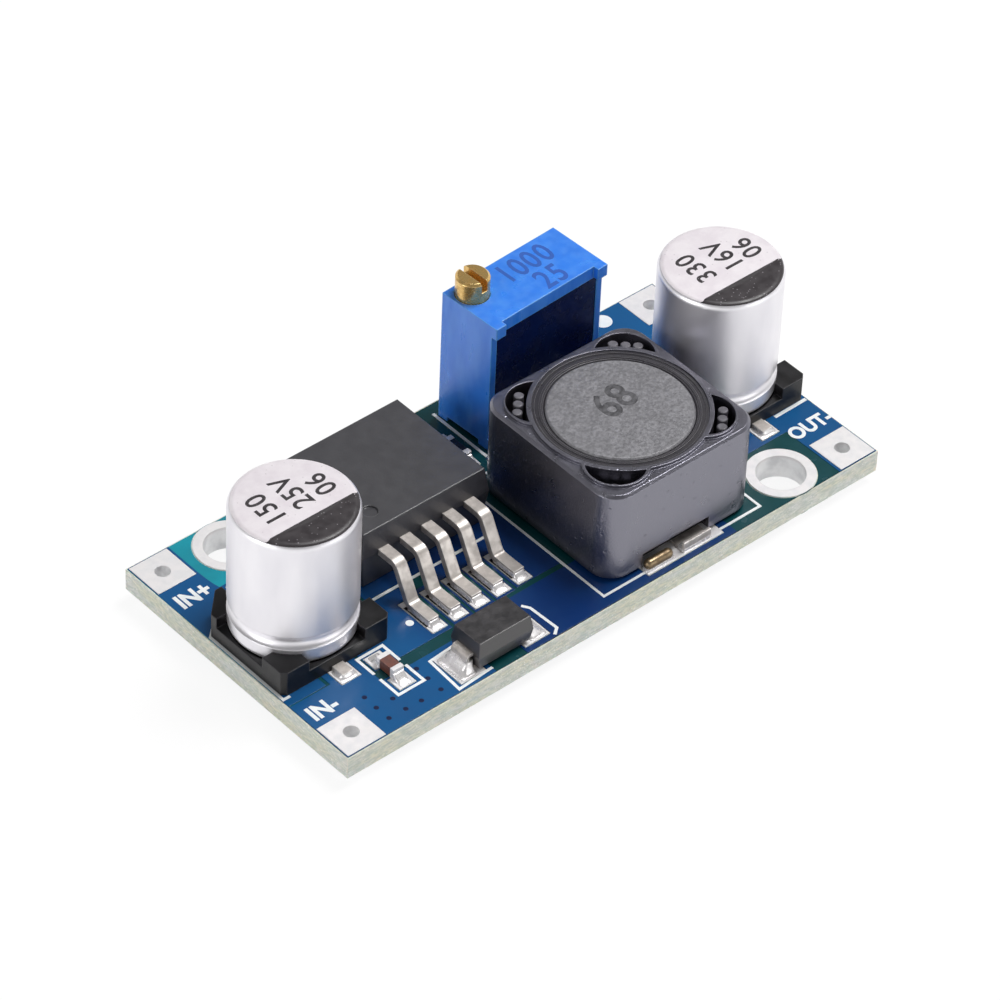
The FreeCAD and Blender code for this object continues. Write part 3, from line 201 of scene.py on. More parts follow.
@dataclass(frozen=True)
class Finish:
    """One real material and how its surface was made.

    Fields: the finish's name, its slot, which is not used, its sRGB colour and the shader's values,
    then what varies over the surface.
    """

    name: str
    slot: str
    colour: str
    roughness: float
    metallic: float = 0.0
    ior: float = 1.5
    tint: str = "#FFFFFF"
    coat: float = 0.0
    subsurface: float = 0.0
    painted_light_fades: tuple[PaintedLightFade, ...] = ()
    mottle: Optional[Mottle] = None
    stain: Optional[Mottle] = None
    specks: Optional[Specks] = None
    grain: Optional[Grain] = None
    edge: Optional[Edge] = None

    def material(self) -> bpy.types.Material:
        """Builds the finish's material once.

        Returns:
            The material, the same one on every call.
        """
        made = bpy.data.materials.get(self.name)
        if made:
            return made
        made = bpy.data.materials.new(self.name)
        made.use_nodes = True
        tree = made.node_tree
        tree.nodes.clear()
        shader = add_node(tree, "ShaderNodeBsdfPrincipled",
                          {"Base Color": linear(self.colour), "Roughness": self.roughness,
                           "Metallic": self.metallic, "Coat Weight": self.coat,
                           "Coat Roughness": COAT_ROUGHNESS,
                           "Subsurface Weight": self.subsurface, "Subsurface Scale": LIGHT_DEPTH,
                           "Specular Tint": linear(self.tint)})
        if self.metallic < METAL_SHARE:
            shader.inputs["IOR"].default_value = self.ior
        place = add_node(tree, "ShaderNodeTexCoord").outputs["Object"]
        colour = add_node(tree, "ShaderNodeRGB")
        colour.outputs[0].default_value = linear(self.colour)
        paint = colour.outputs[0]
        for light_fade in self.painted_light_fades:
            paint = self._paint_light_fade(tree, place, paint, light_fade)
        for patches in (self.mottle, self.stain):
            if patches:
                paint = self._patches(tree, shader, place, paint, patches)
        height = None
        if self.specks:
            paint, height = self._specks(tree, place, paint)
        normal = None
        if self.edge:
            paint, normal = self._edges(tree, paint)
        if self.grain:
            normal = self._relief(tree, place, normal)
        if height is not None and self.specks.depth:
            normal = add_node(tree, "ShaderNodeBump",
                              {"Strength": 1.0, "Distance": self.specks.depth / 1000,
                               "invert": True},
                              {"Height": height,
                               **({"Normal": normal} if normal else {})}).outputs[0]
        tree.links.new(paint, shader.inputs["Base Color"])
        if normal:
            tree.links.new(normal, shader.inputs["Normal"])
        add_node(tree, "ShaderNodeOutputMaterial", {}, {"Surface": shader.outputs[0]})
        return made

    @staticmethod
    def _noise(tree: bpy.types.NodeTree, place: bpy.types.NodeSocket, size: float,
               stretch: tuple[float, float, float], detail: float) -> bpy.types.NodeSocket:
        """Adds noise of a real size.

        Args:
            tree: The material's nodes.
            place: Where the surface is.
            size: The patches' size in mm.
            stretch: Scale of the pattern along each axis.
            detail: Octaves of noise.
        Returns:
            The noise from 0 to 1.
        """
        spot = add_node(tree, "ShaderNodeMapping", {"Scale": stretch}, {"Vector": place}).outputs[0]
        return add_node(tree, "ShaderNodeTexNoise", {"Scale": 1000 / size, "Detail": detail},
                        {"Vector": spot}).outputs[0]

    @staticmethod
    def _paint_light_fade(tree: bpy.types.NodeTree, place: bpy.types.NodeSocket, paint: bpy.types.NodeSocket,
                light_fade: PaintedLightFade) -> bpy.types.NodeSocket:
        """Paints light or shade into the colour: it changes along the way from the given start to
        the given end.

        Args:
            tree: The material's nodes.
            place: Where the surface is.
            paint: The colour so far.
            light_fade: The painted light or shade.
        Returns:
            The colour with the painted light or shade.
        """
        way = Vector(light_fade.end) - Vector(light_fade.start)
        along = add_node(tree, "ShaderNodeVectorMath",
                         {"operation": "DOT_PRODUCT", 1: way.normalized()}, {0: place})
        start = Vector(light_fade.start).dot(way.normalized())
        share = add_node(tree, "ShaderNodeMapRange",
                         {"interpolation_type": "SMOOTHSTEP", "From Min": start,
                          "From Max": start + way.length}, {"Value": along.outputs["Value"]})
        mix = add_node(tree, "ShaderNodeMix", {"data_type": "RGBA", 7: linear(light_fade.colour)},
                       {0: share.outputs[0], 6: paint})
        return mix.outputs[2]

    def _patches(self, tree: bpy.types.NodeTree, shader: bpy.types.Node,
                 place: bpy.types.NodeSocket, paint: bpy.types.NodeSocket,
                 patches: Mottle) -> bpy.types.NodeSocket:
        """Mixes soft patches of a second colour in, and lets the roughness follow them.

        Args:
            tree: The material's nodes.
            shader: The material's shader.
            place: Where the surface is.
            paint: The colour so far.
            patches: The patches.
        Returns:
            The colour with the patches.
        """
        noise = self._noise(tree, place, patches.size, patches.stretch, 3.0)
        share = add_node(tree, "ShaderNodeMapRange",
                         {"From Min": PATCH_RANGE[0], "From Max": PATCH_RANGE[1],
                          "To Max": patches.amount}, {"Value": noise})
        if patches.roughness:
            rough = add_node(tree, "ShaderNodeMapRange",
                             {"From Min": ROUGH_RANGE[0], "From Max": ROUGH_RANGE[1],
                              "To Min": max(0.02, self.roughness - patches.roughness),
                              "To Max": min(1.0, self.roughness + patches.roughness)},
                             {"Value": noise})
            tree.links.new(rough.outputs[0], shader.inputs["Roughness"])
        mix = add_node(tree, "ShaderNodeMix", {"data_type": "RGBA", 7: linear(patches.colour)},
                       {0: share.outputs[0], 6: paint})
        return mix.outputs[2]

    def _specks(self, tree: bpy.types.NodeTree, place: bpy.types.NodeSocket,
                paint: bpy.types.NodeSocket) -> tuple[bpy.types.NodeSocket, bpy.types.NodeSocket]:
        """Adds dots or pits.

        Args:
            tree: The material's nodes.
            place: Where the surface is.
            paint: The colour so far.
        Returns:
            The colour with the dots, and the dots from 0 to 1.
        """
        specks = self.specks
        cells = add_node(tree, "ShaderNodeTexVoronoi", {"Scale": 1000 / specks.spacing},
                         {"Vector": place})
        dots = add_node(tree, "ShaderNodeMapRange",
                        {"From Min": specks.share * SPECK_CORE, "From Max": specks.share,
                         "To Min": 1.0, "To Max": 0.0}, {"Value": cells.outputs[0]}).outputs[0]
        share = add_node(tree, "ShaderNodeMath", {"operation": "MULTIPLY", 1: specks.amount},
                         {0: dots})
        mix = add_node(tree, "ShaderNodeMix", {"data_type": "RGBA", 7: linear(specks.colour)},
                       {0: share.outputs[0], 6: paint})
        return mix.outputs[2], dots

    def _edges(self, tree: bpy.types.NodeTree,
               paint: bpy.types.NodeSocket) -> tuple[bpy.types.NodeSocket, bpy.types.NodeSocket]:
        """Rounds the edges in the shading and rubs them towards the edge colour, which where
        lighter is partly a painted edge highlight.

        Args:
            tree: The material's nodes.
            paint: The colour so far.
        Returns:
            The colour and the rounded normal.
        """
        round_off = add_node(tree, "ShaderNodeBevel",
                             {"samples": 6, "Radius": self.edge.radius / 1000})
        flat = add_node(tree, "ShaderNodeNewGeometry").outputs["Normal"]
        facing = add_node(tree, "ShaderNodeVectorMath", {"operation": "DOT_PRODUCT"},
                          {0: flat, 1: round_off.outputs[0]}).outputs["Value"]
        # Rubbing and, where the edge colour is lighter, a painted edge highlight.
        rubbed_and_highlit = add_node(tree, "ShaderNodeMapRange",
                          {"From Min": RUB_AND_HIGHLIGHT_RANGE[0], "From Max": RUB_AND_HIGHLIGHT_RANGE[1], "To Min": 0.0,
                           "To Max": self.edge.amount}, {"Value": facing})
        mix = add_node(tree, "ShaderNodeMix", {"data_type": "RGBA", 7: linear(self.edge.colour)},
                       {0: rubbed_and_highlit.outputs[0], 6: paint})
        return mix.outputs[2], round_off.outputs[0]

    def _relief(self, tree: bpy.types.NodeTree, place: bpy.types.NodeSocket,
                normal: Optional[bpy.types.NodeSocket]) -> bpy.types.NodeSocket:
        """Adds the fine relief.

        Args:
            tree: The material's nodes.
            place: Where the surface is.
            normal: The normal so far, if there is one.
        Returns:
            The normal with the relief.
        """
        noise = self._noise(tree, place, self.grain.size, self.grain.stretch, 4.0)
        return add_node(tree, "ShaderNodeBump",
                        {"Strength": 1.0, "Distance": self.grain.height / 1000},
                        {"Height": noise, **({"Normal": normal} if normal else {})}).outputs[0]

    def dress(self, *nodes: str) -> None:
        """Gives CAD nodes this finish."""
        for name in nodes:
            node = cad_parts[name]
            node.data.materials.clear()
            node.data.materials.append(self.material())


# Glass-fibre laminate, pressed and routed: a pale green-yellow edge with layers and a rough cut.
LAMINATE = Finish("glass_fibre_laminate_routed", "fibreglass", "#E3E5DF", 0.7, ior=1.55,
                  subsurface=0.15, mottle=Mottle("#EFEACB", 4.5, 0.6, 0.05, (1, 1, 5)),
                  stain=Mottle("#B4C0B6", 0.45, 0.6, 0, (1, 1, 3)),
                  specks=Specks("#FBFBF6", 0.34, 0.2, 0.7), grain=Grain(0.14, 0.05, (1, 1, 2)),
                  edge=Edge(0.08, "#F4F3E6", 0.9))
# Epoxy solder mask over bare laminate, screened and cured: glossy, clear teal.
MASK = Finish("solder_mask_over_laminate", "fibreglass", "#1B93A4", 0.24, ior=1.5,
              mottle=Mottle("#0C4A58", 3.0, 0.35, 0.06),
              # Painted shade: the teal darkens away from the input mounting ring, towards the
              # leads, the chip and the middle of the board.
              painted_light_fades=(PaintedLightFade("#063E40", (-0.0165, 0.004, 0), (-0.0125, -0.001, 0)),),
              grain=Grain(0.3, 0.002))
# The same mask over copper foil: bluer, because the foil under it sends the light back.
MASK_ON_COPPER = Finish("solder_mask_over_copper", "fibreglass", "#13568C", 0.22, ior=1.5,
                        # Painted shade: the blue darkens to navy from the left towards the
                        # regulator's leads and the middle; painted light: it turns lighter blue
                        # again towards the right.
                        painted_light_fades=(PaintedLightFade("#0A2F68", (-0.0135, -0.006, 0), (-0.008, -0.0045, 0)),
                               PaintedLightFade("#155F96", (0.010, 0, 0), (0.017, 0.002, 0))),
                        mottle=Mottle("#0F4678", 4.0, 0.3, 0.05),
                        stain=Mottle("#0C3364", 15.0, 0.3), grain=Grain(0.35, 0.003),
                        edge=Edge(0.03, "#103E6E", 0.5))
# Mask sunk into a via's barrel: a dark navy dot.
VIA_MASK = Finish("solder_mask_in_via", "fibreglass", "#07163C", 0.6, ior=1.3,
                  mottle=Mottle("#0A2048", 0.2, 0.5), edge=Edge(0.02, "#12305C", 0.5))
# White epoxy legend ink, screen printed: opaque, a little uneven and matt.
LEGEND_INK = Finish("legend_ink_screen_printed", "fibreglass", "#F0F1F0", 0.5, ior=1.5,
                    mottle=Mottle("#D5E0E6", 0.5, 0.45, 0.08), grain=Grain(0.1, 0.004))
# Tinned copper, hot-air levelled: white metal with soft waves.
TINNED = Finish("tinned_copper_hot_air_levelled", "tinned_copper", "#F0EDED", 0.4, 0.2, ior=1.5,
                # Painted light: below the board's top the metal fades to white, so the hole barrels
                # and the underside's pads read as brightly lit.
                painted_light_fades=(PaintedLightFade("#FFFFFF", (0, 0, 0.00162), (0, 0, 0.0014)),),
                mottle=Mottle("#D6D6D8", 0.9, 0.6, 0.1), grain=Grain(0.8, 0.012),
                edge=Edge(0.05, "#FFFFFF", 0.3))
# Tin-plated copper strip, stamped and formed: brighter, with fine drawing lines.
TIN_PLATE = Finish("tin_plated_strip_stamped", "tinned_copper", "#CFC8C2", 0.38, 0.45, ior=1.6,
                   mottle=Mottle("#9A938D", 0.6, 0.6, 0.1), grain=Grain(0.3, 0.003, (1, 3, 1)),
                   edge=Edge(0.09, "#FFFFFF", 0.5))
# Tin solder, reflowed: bright, with dull freckles.
SOLDER = Finish("tin_solder_reflowed", "solder", "#F2EFEE", 0.28, 0.5,
                mottle=Mottle("#D2CFD0", 0.45, 0.5, 0.1), grain=Grain(0.5, 0.008))
# Drawn aluminium can under clear lacquer: satin white metal.
ALUMINIUM = Finish("aluminium_can_drawn_and_lacquered", "aluminium_can", "#F3F1F5", 0.4, 0.85,
                   mottle=Mottle("#E2E0E6", 2.5, 0.6, 0.05, (1, 1, 0.3)),
                   grain=Grain(0.3, 0.0015, (1, 1, 0.1)), edge=Edge(0.08, "#FFFFFF", 0.3))
# Satin lacquer on the can's top, cured: a soft silver-white that hides the metal's mirror.
TOP_LACQUER = Finish("satin_lacquer_on_aluminium", "aluminium_can", "#EEE8EC", 0.45, 0.25, ior=1.5,
                     mottle=Mottle("#DAD2D8", 1.3, 0.7, 0.06),
                     specks=Specks("#BDB6BC", 0.5, 0.12, 0.5), grain=Grain(0.2, 0.004),
                     edge=Edge(0.08, "#FFFFFF", 0.4))
# Black print on the lacquer, pad printed: brown-black with a few bare dots.
CAN_INK = Finish("can_ink_pad_printed", "aluminium_can", "#2F2A2D", 0.4, ior=1.5,
                 mottle=Mottle("#3C373A", 0.6, 0.6, 0.08), specks=Specks("#A8A2A8", 0.3, 0.16, 0.6))
# Glass-filled nylon, moulded: near black, faintly glossy.
BASE_NYLON = Finish("glass_filled_nylon_moulded", "black_moulding", "#0B0A0C", 0.4, ior=1.42,
                    mottle=Mottle("#1A191C", 1.0, 0.6, 0.08), grain=Grain(0.12, 0.004),
                    edge=Edge(0.1, "#55535A", 0.45))
# Epoxy moulding compound, moulded and matt: dark grey with fine silica grain and lighter edges.
MOULDING_COMPOUND = Finish("epoxy_moulding_compound", "black_moulding", "#28272D", 0.38, ior=1.9,
                           mottle=Mottle("#2D2C32", 0.8, 0.5, 0.02),
                           specks=Specks("#454449", 0.16, 0.16, 0.3), grain=Grain(0.09, 0.004),
                           edge=Edge(0.1, "#605E62", 0.35))
# The diode's compound: the same with a violet cast.
DIODE_COMPOUND = Finish("epoxy_moulding_compound_violet", "black_moulding", "#131014", 0.36,
                        ior=1.85, mottle=Mottle("#1F191E", 0.6, 0.6, 0.07), grain=Grain(0.1, 0.006),
                        edge=Edge(0.1, "#6A6066", 0.35))
# Manganese-zinc ferrite, pressed, fired and tumbled: grey-black ceramic with pits and ground edges.
FERRITE = Finish("ferrite_pressed_and_fired", "ferrite", "#19181C", 0.3, ior=3.0, tint="#EFEEFF",
                 mottle=Mottle("#222126", 0.9, 0.6, 0.03),
                 specks=Specks("#0C0B0E", 0.75, 0.16, 0.8, 0.015), grain=Grain(0.14, 0.02),
                 edge=Edge(0.07, "#45434C", 0.25))
# The drum's ferrite, ground on its face: lighter and speckled.
DRUM_FERRITE = Finish("ferrite_ground_face", "drum_ferrite", "#5E5D62", 0.5, ior=1.9,
                      mottle=Mottle("#87868B", 0.22, 0.7, 0.08), stain=Mottle("#4C4B4F", 0.6, 0.4),
                      specks=Specks("#8B8A8F", 0.4, 0.2, 0.4), grain=Grain(0.16, 0.025),
                      edge=Edge(0.12, "#8E8D92", 0.5))
# Stamped ink on the drum, thin: darker grey that lets the ceramic show.
DRUM_INK = Finish("stamp_ink_on_ferrite", "drum_ferrite", "#2E2D31", 0.5, ior=1.6,
                  mottle=Mottle("#5A595D", 0.35, 0.85, 0.08), grain=Grain(0.16, 0.02))
# Enamelled copper wire: red-gold metal under clear varnish.
ENAMELLED_WIRE = Finish("enamelled_copper_wire", "copper_wire", "#B98648", 0.3, 0.9, coat=0.6,
                        mottle=Mottle("#8E5F30", 0.4, 0.6, 0.08), grain=Grain(0.2, 0.004),
                        edge=Edge(0.06, "#F1D9AA", 0.6))
# Tinned wire end, dipped: gold-brown wire with pale solder rims.
DIPPED_WIRE = Finish("copper_wire_end_dipped", "copper_wire", "#8F7D62", 0.38, 0.8,
                     mottle=Mottle("#5E4C38", 0.5, 0.7, 0.1), grain=Grain(0.2, 0.008),
                     edge=Edge(0.1, "#E0D8C8", 0.7))
# Black epoxy, dispensed and cured in place: soft gloss and a low wave, with a painted pale-grey
# highlight on its edges.
BLACK_EPOXY = Finish("black_epoxy_dispensed", "black_resin", "#312F35", 0.36, ior=1.55,
                     mottle=Mottle("#262327", 1.2, 0.6, 0.1), grain=Grain(0.6, 0.02),
                     edge=Edge(0.06, "#8A888E", 0.7))
# Liquid-crystal polymer, moulded: dull grey ribs.
GREY_POLYMER = Finish("liquid_crystal_polymer_moulded", "grey_moulding", "#6B6970", 0.42, ior=1.6,
                      mottle=Mottle("#4C4A50", 0.4, 0.7, 0.06, (1, 1, 0.2)),
                      grain=Grain(0.1, 0.005), edge=Edge(0.06, "#8C8A90", 0.5))
# Diallyl phthalate, moulded: strong blue, semi-gloss, with flow streaks.
BLUE_DAP = Finish("diallyl_phthalate_moulded", "blue_moulding", "#2E80EC", 0.3, ior=1.62,
                  subsurface=0.05, mottle=Mottle("#2272DC", 1.8, 0.6, 0.06, (1, 1, 0.35)),
                  stain=Mottle("#5C9FF4", 0.7, 0.35, 0.0, (1, 1, 0.25)), grain=Grain(0.25, 0.004),
                  edge=Edge(0.1, "#7CC8F8", 0.7))
# Dark blue epoxy potting, poured and cured in the open front: dark and smooth.
NAVY_POTTING = Finish("blue_epoxy_potting_poured", "navy_resin", "#0B1A4A", 0.25, ior=1.55,
                      mottle=Mottle("#0A1336", 1.0, 0.6, 0.1), grain=Grain(0.7, 0.02))
# Laser-marked numerals: the moulding darkened a little.
MARKED_DAP = Finish("diallyl_phthalate_marked", "blue_moulding", "#1656B0", 0.5, ior=1.56,
                    mottle=Mottle("#1650B4", 0.3, 0.6, 0.08), grain=Grain(0.1, 0.004))
# Free-cutting brass, turned: warm yellow with turning rings and bright edges.
BRASS = Finish("brass_turned", "brass", "#EBC680", 0.26, 0.85,
               mottle=Mottle("#BE924E", 0.3, 0.6, 0.08), grain=Grain(0.1, 0.006, (0.2, 0.2, 2)),
               edge=Edge(0.05, "#FFE9B4", 0.7))
# Silicone rubber, moulded: a matt red-brown seal.
SILICONE = Finish("silicone_rubber_moulded", "rubber", "#5A2A1E", 0.6, ior=1.42, subsurface=0.1,
                  mottle=Mottle("#6E3A2A", 0.3, 0.5), grain=Grain(0.1, 0.004))
# Acetal, moulded: milk-white, and light goes into it.
ACETAL = Finish("acetal_moulded", "white_moulding", "#E6E4DC", 0.4, ior=1.48, subsurface=0.2,
                mottle=Mottle("#D6D3C8", 0.6, 0.5, 0.05), grain=Grain(0.15, 0.003),
                edge=Edge(0.04, "#FFFFFF", 0.3))
# Nickel-silver spring strip, stamped: pale yellow metal.
SPRING = Finish("nickel_silver_spring_stamped", "spring_metal", "#C9BFA6", 0.28, 1.0,
                mottle=Mottle("#A99C82", 0.4, 0.5, 0.08), grain=Grain(0.15, 0.003),
                edge=Edge(0.03, "#F2EAD4", 0.5))
# Alumina, fired: matt white ceramic.
ALUMINA = Finish("alumina_fired", "ceramic", "#E2E0DA", 0.5, ior=1.76,
                 mottle=Mottle("#CBC9C2", 0.5, 0.5, 0.06), grain=Grain(0.1, 0.004),
                 edge=Edge(0.05, "#FFFFFF", 0.3))
# Barium titanate, sintered: warm brown, faintly glossy.
TITANATE = Finish("barium_titanate_sintered", "brown_ceramic", "#6E3A2A", 0.4, ior=1.8,
                  mottle=Mottle("#4A2015", 0.35, 0.6, 0.08), grain=Grain(0.08, 0.005),
                  edge=Edge(0.06, "#9A6E58", 0.6))
# Glass glaze over a thick-film resistor, fired: black and glossy.
GLAZE = Finish("glass_glaze_fired", "chip_glaze", "#1B1C20", 0.22, ior=1.52,
               mottle=Mottle("#2C2D33", 0.4, 0.6, 0.06), grain=Grain(0.3, 0.004),
               edge=Edge(0.05, "#6A6B72", 0.5))
# Painted shadow: a thin brown-black film on the lands beside the lead feet, standing in for the
# shade there.
SHADOW_FILM = Finish("painted_shadow_film", "solder", "#171210", 0.3, ior=1.45,
               mottle=Mottle("#2E211A", 0.4, 0.5, 0.1), grain=Grain(0.3, 0.006))


def add_piece(name: str, mesh: bpy.types.Mesh, finish: Finish, body: str = MODULE,
              smooth: bool = False) -> bpy.types.Object:
    """Puts a finished mesh into the scene as a piece of the object.

    Args:
        name: The piece's name.
        mesh: Its mesh, in metres and in place.
        finish: Its finish, whose material the mesh gets.
        body: The CAD body that it rides on.
        smooth: Whether its faces are shaded smooth.
    Returns:
        The piece.
    """
    piece = bpy.data.objects.new(name, mesh)
    bpy.context.scene.collection.objects.link(piece)
    mesh.materials.clear()
    mesh.materials.append(finish.material())
    for face in mesh.polygons:
        face.use_smooth = smooth
    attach(piece, body)
    return piece


def curve_mesh(curve: bpy.types.Curve) -> bpy.types.Mesh:
    """Turns a curve or text into a mesh and deletes the curve.

    Args:
        curve: The curve's data.
    Returns:
        Its mesh, with doubled points merged.
    """
    holder = bpy.data.objects.new("outline", curve)
    bpy.context.scene.collection.objects.link(holder)
    bpy.context.view_layer.update()
    drawn = holder.evaluated_get(bpy.context.evaluated_depsgraph_get())
    mesh = bpy.data.meshes.new_from_object(drawn)
    bpy.data.objects.remove(holder)
    bpy.data.curves.remove(curve)
    solid = bmesh.new()
    solid.from_mesh(mesh)
    bmesh.ops.remove_doubles(solid, verts=solid.verts, dist=MERGE)
    bmesh.ops.recalc_face_normals(solid, faces=solid.faces)
    solid.to_mesh(mesh)
    solid.free()
    return mesh


def plate(name: str, outlines: list[list[Point]], low: float, high: float) -> bpy.types.Mesh:
    """Fills outlines, with the inner ones as holes, to a flat plate.

    Args:
        name: The mesh's name.
        outlines: Closed outlines in mm that don't cross.
        low: The underside's height in mm.
        high: The top's height in mm.
    Returns:
        The plate's mesh.
    """
    curve = bpy.data.curves.new(name, "CURVE")
    curve.dimensions = "2D"
    curve.fill_mode = "BOTH"
    curve.extrude = (high - low) / 2000
    for outline in outlines:
        spline = curve.splines.new("POLY")
        spline.points.add(len(outline) - 1)
        for spot, (x, y) in zip(spline.points, outline):
            spot.co = (x / 1000, y / 1000, 0, 1)
        spline.use_cyclic_u = True
    mesh = curve_mesh(curve)
    mesh.transform(Matrix.Translation(metres(0, 0, (low + high) / 2)))
    return mesh


def circle(x: float, y: float, radius: float, sides: int, start: float = 0.0,
           sweep: float = math.tau) -> list[Point]:
    """Gives points on a circle or arc in mm.

    Args:
        x: The centre's place across.
        y: The centre's place back.
        radius: The radius.
        sides: How many points.
        start: The first point's angle.
        sweep: The angle in all; a full turn leaves the last point out.
    Returns:
        The points in order.
    """
    steps = sides if sweep >= math.tau else sides - 1
    return [(x + radius * math.cos(start + sweep * i / steps),
             y + radius * math.sin(start + sweep * i / steps)) for i in range(sides)]


def rectangle(box: Box, grow: float = 0.0, corner: float = 0.0) -> list[Point]:
    """Gives a rectangle's outline in mm.

    Args:
        box: Lowest x and y and highest x and y.
        grow: How far it grows on every side.
        corner: The corners' radius.
    Returns:
        The outline, anticlockwise.
    """
    x0, y0, x1, y1 = box[0] - grow, box[1] - grow, box[2] + grow, box[3] + grow
    if corner <= 0:
        return [(x0, y0), (x1, y0), (x1, y1), (x0, y1)]
    centres = [(x1 - corner, y0 + corner, -90), (x1 - corner, y1 - corner, 0),
               (x0 + corner, y1 - corner, 90), (x0 + corner, y0 + corner, 180)]
    return [spot for cx, cy, turn in centres
            for spot in circle(cx, cy, corner, 5, math.radians(turn), math.pi / 2)]


def stroke(ends: list[Point], width: float) -> list[Point]:
    """Draws a line of some width, mitred at its corners and a little longer at its ends.

    Args:
        ends: The line's points in mm.
        width: Its width in mm.
    Returns:
        The line's outline.
    """
    half, sharpest, end_push = width / 2, 0.4, 0.6
    left: list[Point] = []
    right: list[Point] = []
    for i, spot in enumerate(ends):
        here = Vector(spot)
        before = (here - Vector(ends[i - 1])).normalized() if i else None
        after = (Vector(ends[i + 1]) - here).normalized() if i + 1 < len(ends) else None
        along = (before + after).normalized() if before and after else before or after
        side = Vector((-along.y, along.x))
        reach = half / max(sharpest, side.dot(Vector((-(after or before).y, (after or before).x))))
        push = along * (half * end_push) * ((0 if before else -1) + (0 if after else 1))
        left.append(tuple(here + side * reach + push))
        right.append(tuple(here - side * reach + push))
    return left + right[::-1]


def inside(spot: Point, outline: list[Point]) -> bool:
    """Tells whether a place lies inside an outline."""
    x, y = spot
    hit = False
    for (ax, ay), (bx, by) in zip(outline, outline[1:] + outline[:1]):
        if (ay > y) != (by > y) and x < (bx - ax) * (y - ay) / (by - ay) + ax:
            hit = not hit
    return hit


def printed(name: str, text: str, place: tuple[float, float, float], height: float, finish: Finish,
            *, wide: float, bold: float, depth: float, turn: float = 0.0,
            spacing: float = 1.0) -> bpy.types.Object:
    """Prints characters on a level surface.

    Args:
        name: The piece's name.
        text: The characters.
        place: The middle of the line and the surface's height, in mm.
        height: The height of a figure in mm.
        finish: The ink.
        wide: How wide the characters are against the typeface.
        bold: How far the strokes swell, against the figure's height.
        depth: The ink's thickness in mm.
        turn: Turn about the upright in degrees.
        spacing: Space between characters against the typeface.
    Returns:
        The piece.
    """
    curve = bpy.data.curves.new(name, "FONT")
    curve.body = text
    curve.align_x = "CENTER"
    curve.align_y = "CENTER"
    curve.size = height / FIGURE_SHARE / 1000
    curve.offset = height * bold / 1000
    curve.space_character = spacing
    curve.resolution_u = 4
    curve.extrude = depth / 2000
    mesh = curve_mesh(curve)
    low = [min(v.co[i] for v in mesh.vertices) for i in (0, 1)]
    high = [max(v.co[i] for v in mesh.vertices) for i in (0, 1)]
    middle = Vector(((low[0] + high[0]) / 2, (low[1] + high[1]) / 2, 0))
    x, y, z = place
    shape = Matrix.Diagonal((wide, 1, 1, 1)) @ Matrix.Translation(-middle)
    turned = Matrix.Rotation(math.radians(turn), 4, "Z") @ shape
    mesh.transform(Matrix.Translation(metres(x, y, z + depth / 2)) @ turned)
    return add_piece(name, mesh, finish)


def islands(node: str) -> list[tuple[Vector, Vector]]:
    """Finds the boxes of a CAD node's loose solids.

    Args:
        node: The node's name.
    Returns:
        Each solid's lowest and highest corner in mm, sorted by place.
    """
    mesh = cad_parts[node].data
    group: dict[tuple, tuple] = {}

    def root(key: tuple) -> tuple:
        """Finds the first point of a point's group."""
        while group[key] != key:
            group[key] = group[group[key]]
            key = group[key]
        return key

    keys = [tuple(round(c * 1e6) for c in v.co) for v in mesh.vertices]
    for key in keys:
        group.setdefault(key, key)
    for face in mesh.polygons:
        first = root(keys[face.vertices[0]])
        for corner in face.vertices[1:]:
            group[root(keys[corner])] = first
    solids: dict[tuple, list] = {}
    for key in group:
        solids.setdefault(root(key), []).append(key)
    boxes = [(Vector([min(p[i] for p in spots) for i in range(3)]) / 1000,
              Vector([max(p[i] for p in spots) for i in range(3)]) / 1000)
             for spots in solids.values()]
    return sorted(boxes, key=lambda b: (round(b[0].x, 2), round(b[0].y, 2)))


def box_of(node: str) -> tuple[Vector, Vector]:
    """Gives a CAD node's lowest and highest corner in mm."""
    low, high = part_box(node)
    return low * 1000, high * 1000


def centre(low: Vector, high: Vector) -> Point:
    """Gives the middle of a box as seen from above."""
    return (low.x + high.x) / 2, (low.y + high.y) / 2


def land_under(x: float, y: float, slack: float = 0.0) -> tuple[Vector, Vector]:
    """Finds the land under a place.

    Args:
        x: The place across in mm.
        y: The place back in mm.
        slack: How far the place may lie past the land's front or back, in mm.
    Returns:
        The land's lowest and highest corner in mm.
    """
    return next((low, high) for low, high in islands(LANDS)
                if low.x < x < high.x and low.y - slack < y < high.y + slack)


def ringed(name: str, rings: list[list[Vector]]) -> bpy.types.Mesh:
    """Skins rings of points, each with as many points, to a closed form.

    Args:
        name: The mesh's name.
        rings: The rings in mm, from low to high or from outside in.
    Returns:
        The mesh.
    """
    solid = bmesh.new()
    made = [[solid.verts.new(spot / 1000) for spot in ring] for ring in rings]
    count = len(rings[0])
    for low, high in zip(made, made[1:]):
        for i in range(count):
            solid.faces.new((low[i], low[(i + 1) % count], high[(i + 1) % count], high[i]))
    solid.faces.new(made[0][::-1])
    solid.faces.new(made[-1])
    bmesh.ops.recalc_face_normals(solid, faces=solid.faces)
    mesh = bpy.data.meshes.new(name)
    solid.to_mesh(mesh)
    solid.free()
    return mesh


def joined(name: str, meshes: list[bpy.types.Mesh]) -> bpy.types.Mesh:
    """Puts several meshes into one.

    Args:
        name: The new mesh's name.
        meshes: The meshes, which are deleted.
    Returns:
        The one mesh.
    """
    solid = bmesh.new()
    for mesh in meshes:
        solid.from_mesh(mesh)
        bpy.data.meshes.remove(mesh)
    mesh = bpy.data.meshes.new(name)
    solid.to_mesh(mesh)
    solid.free()
    return mesh


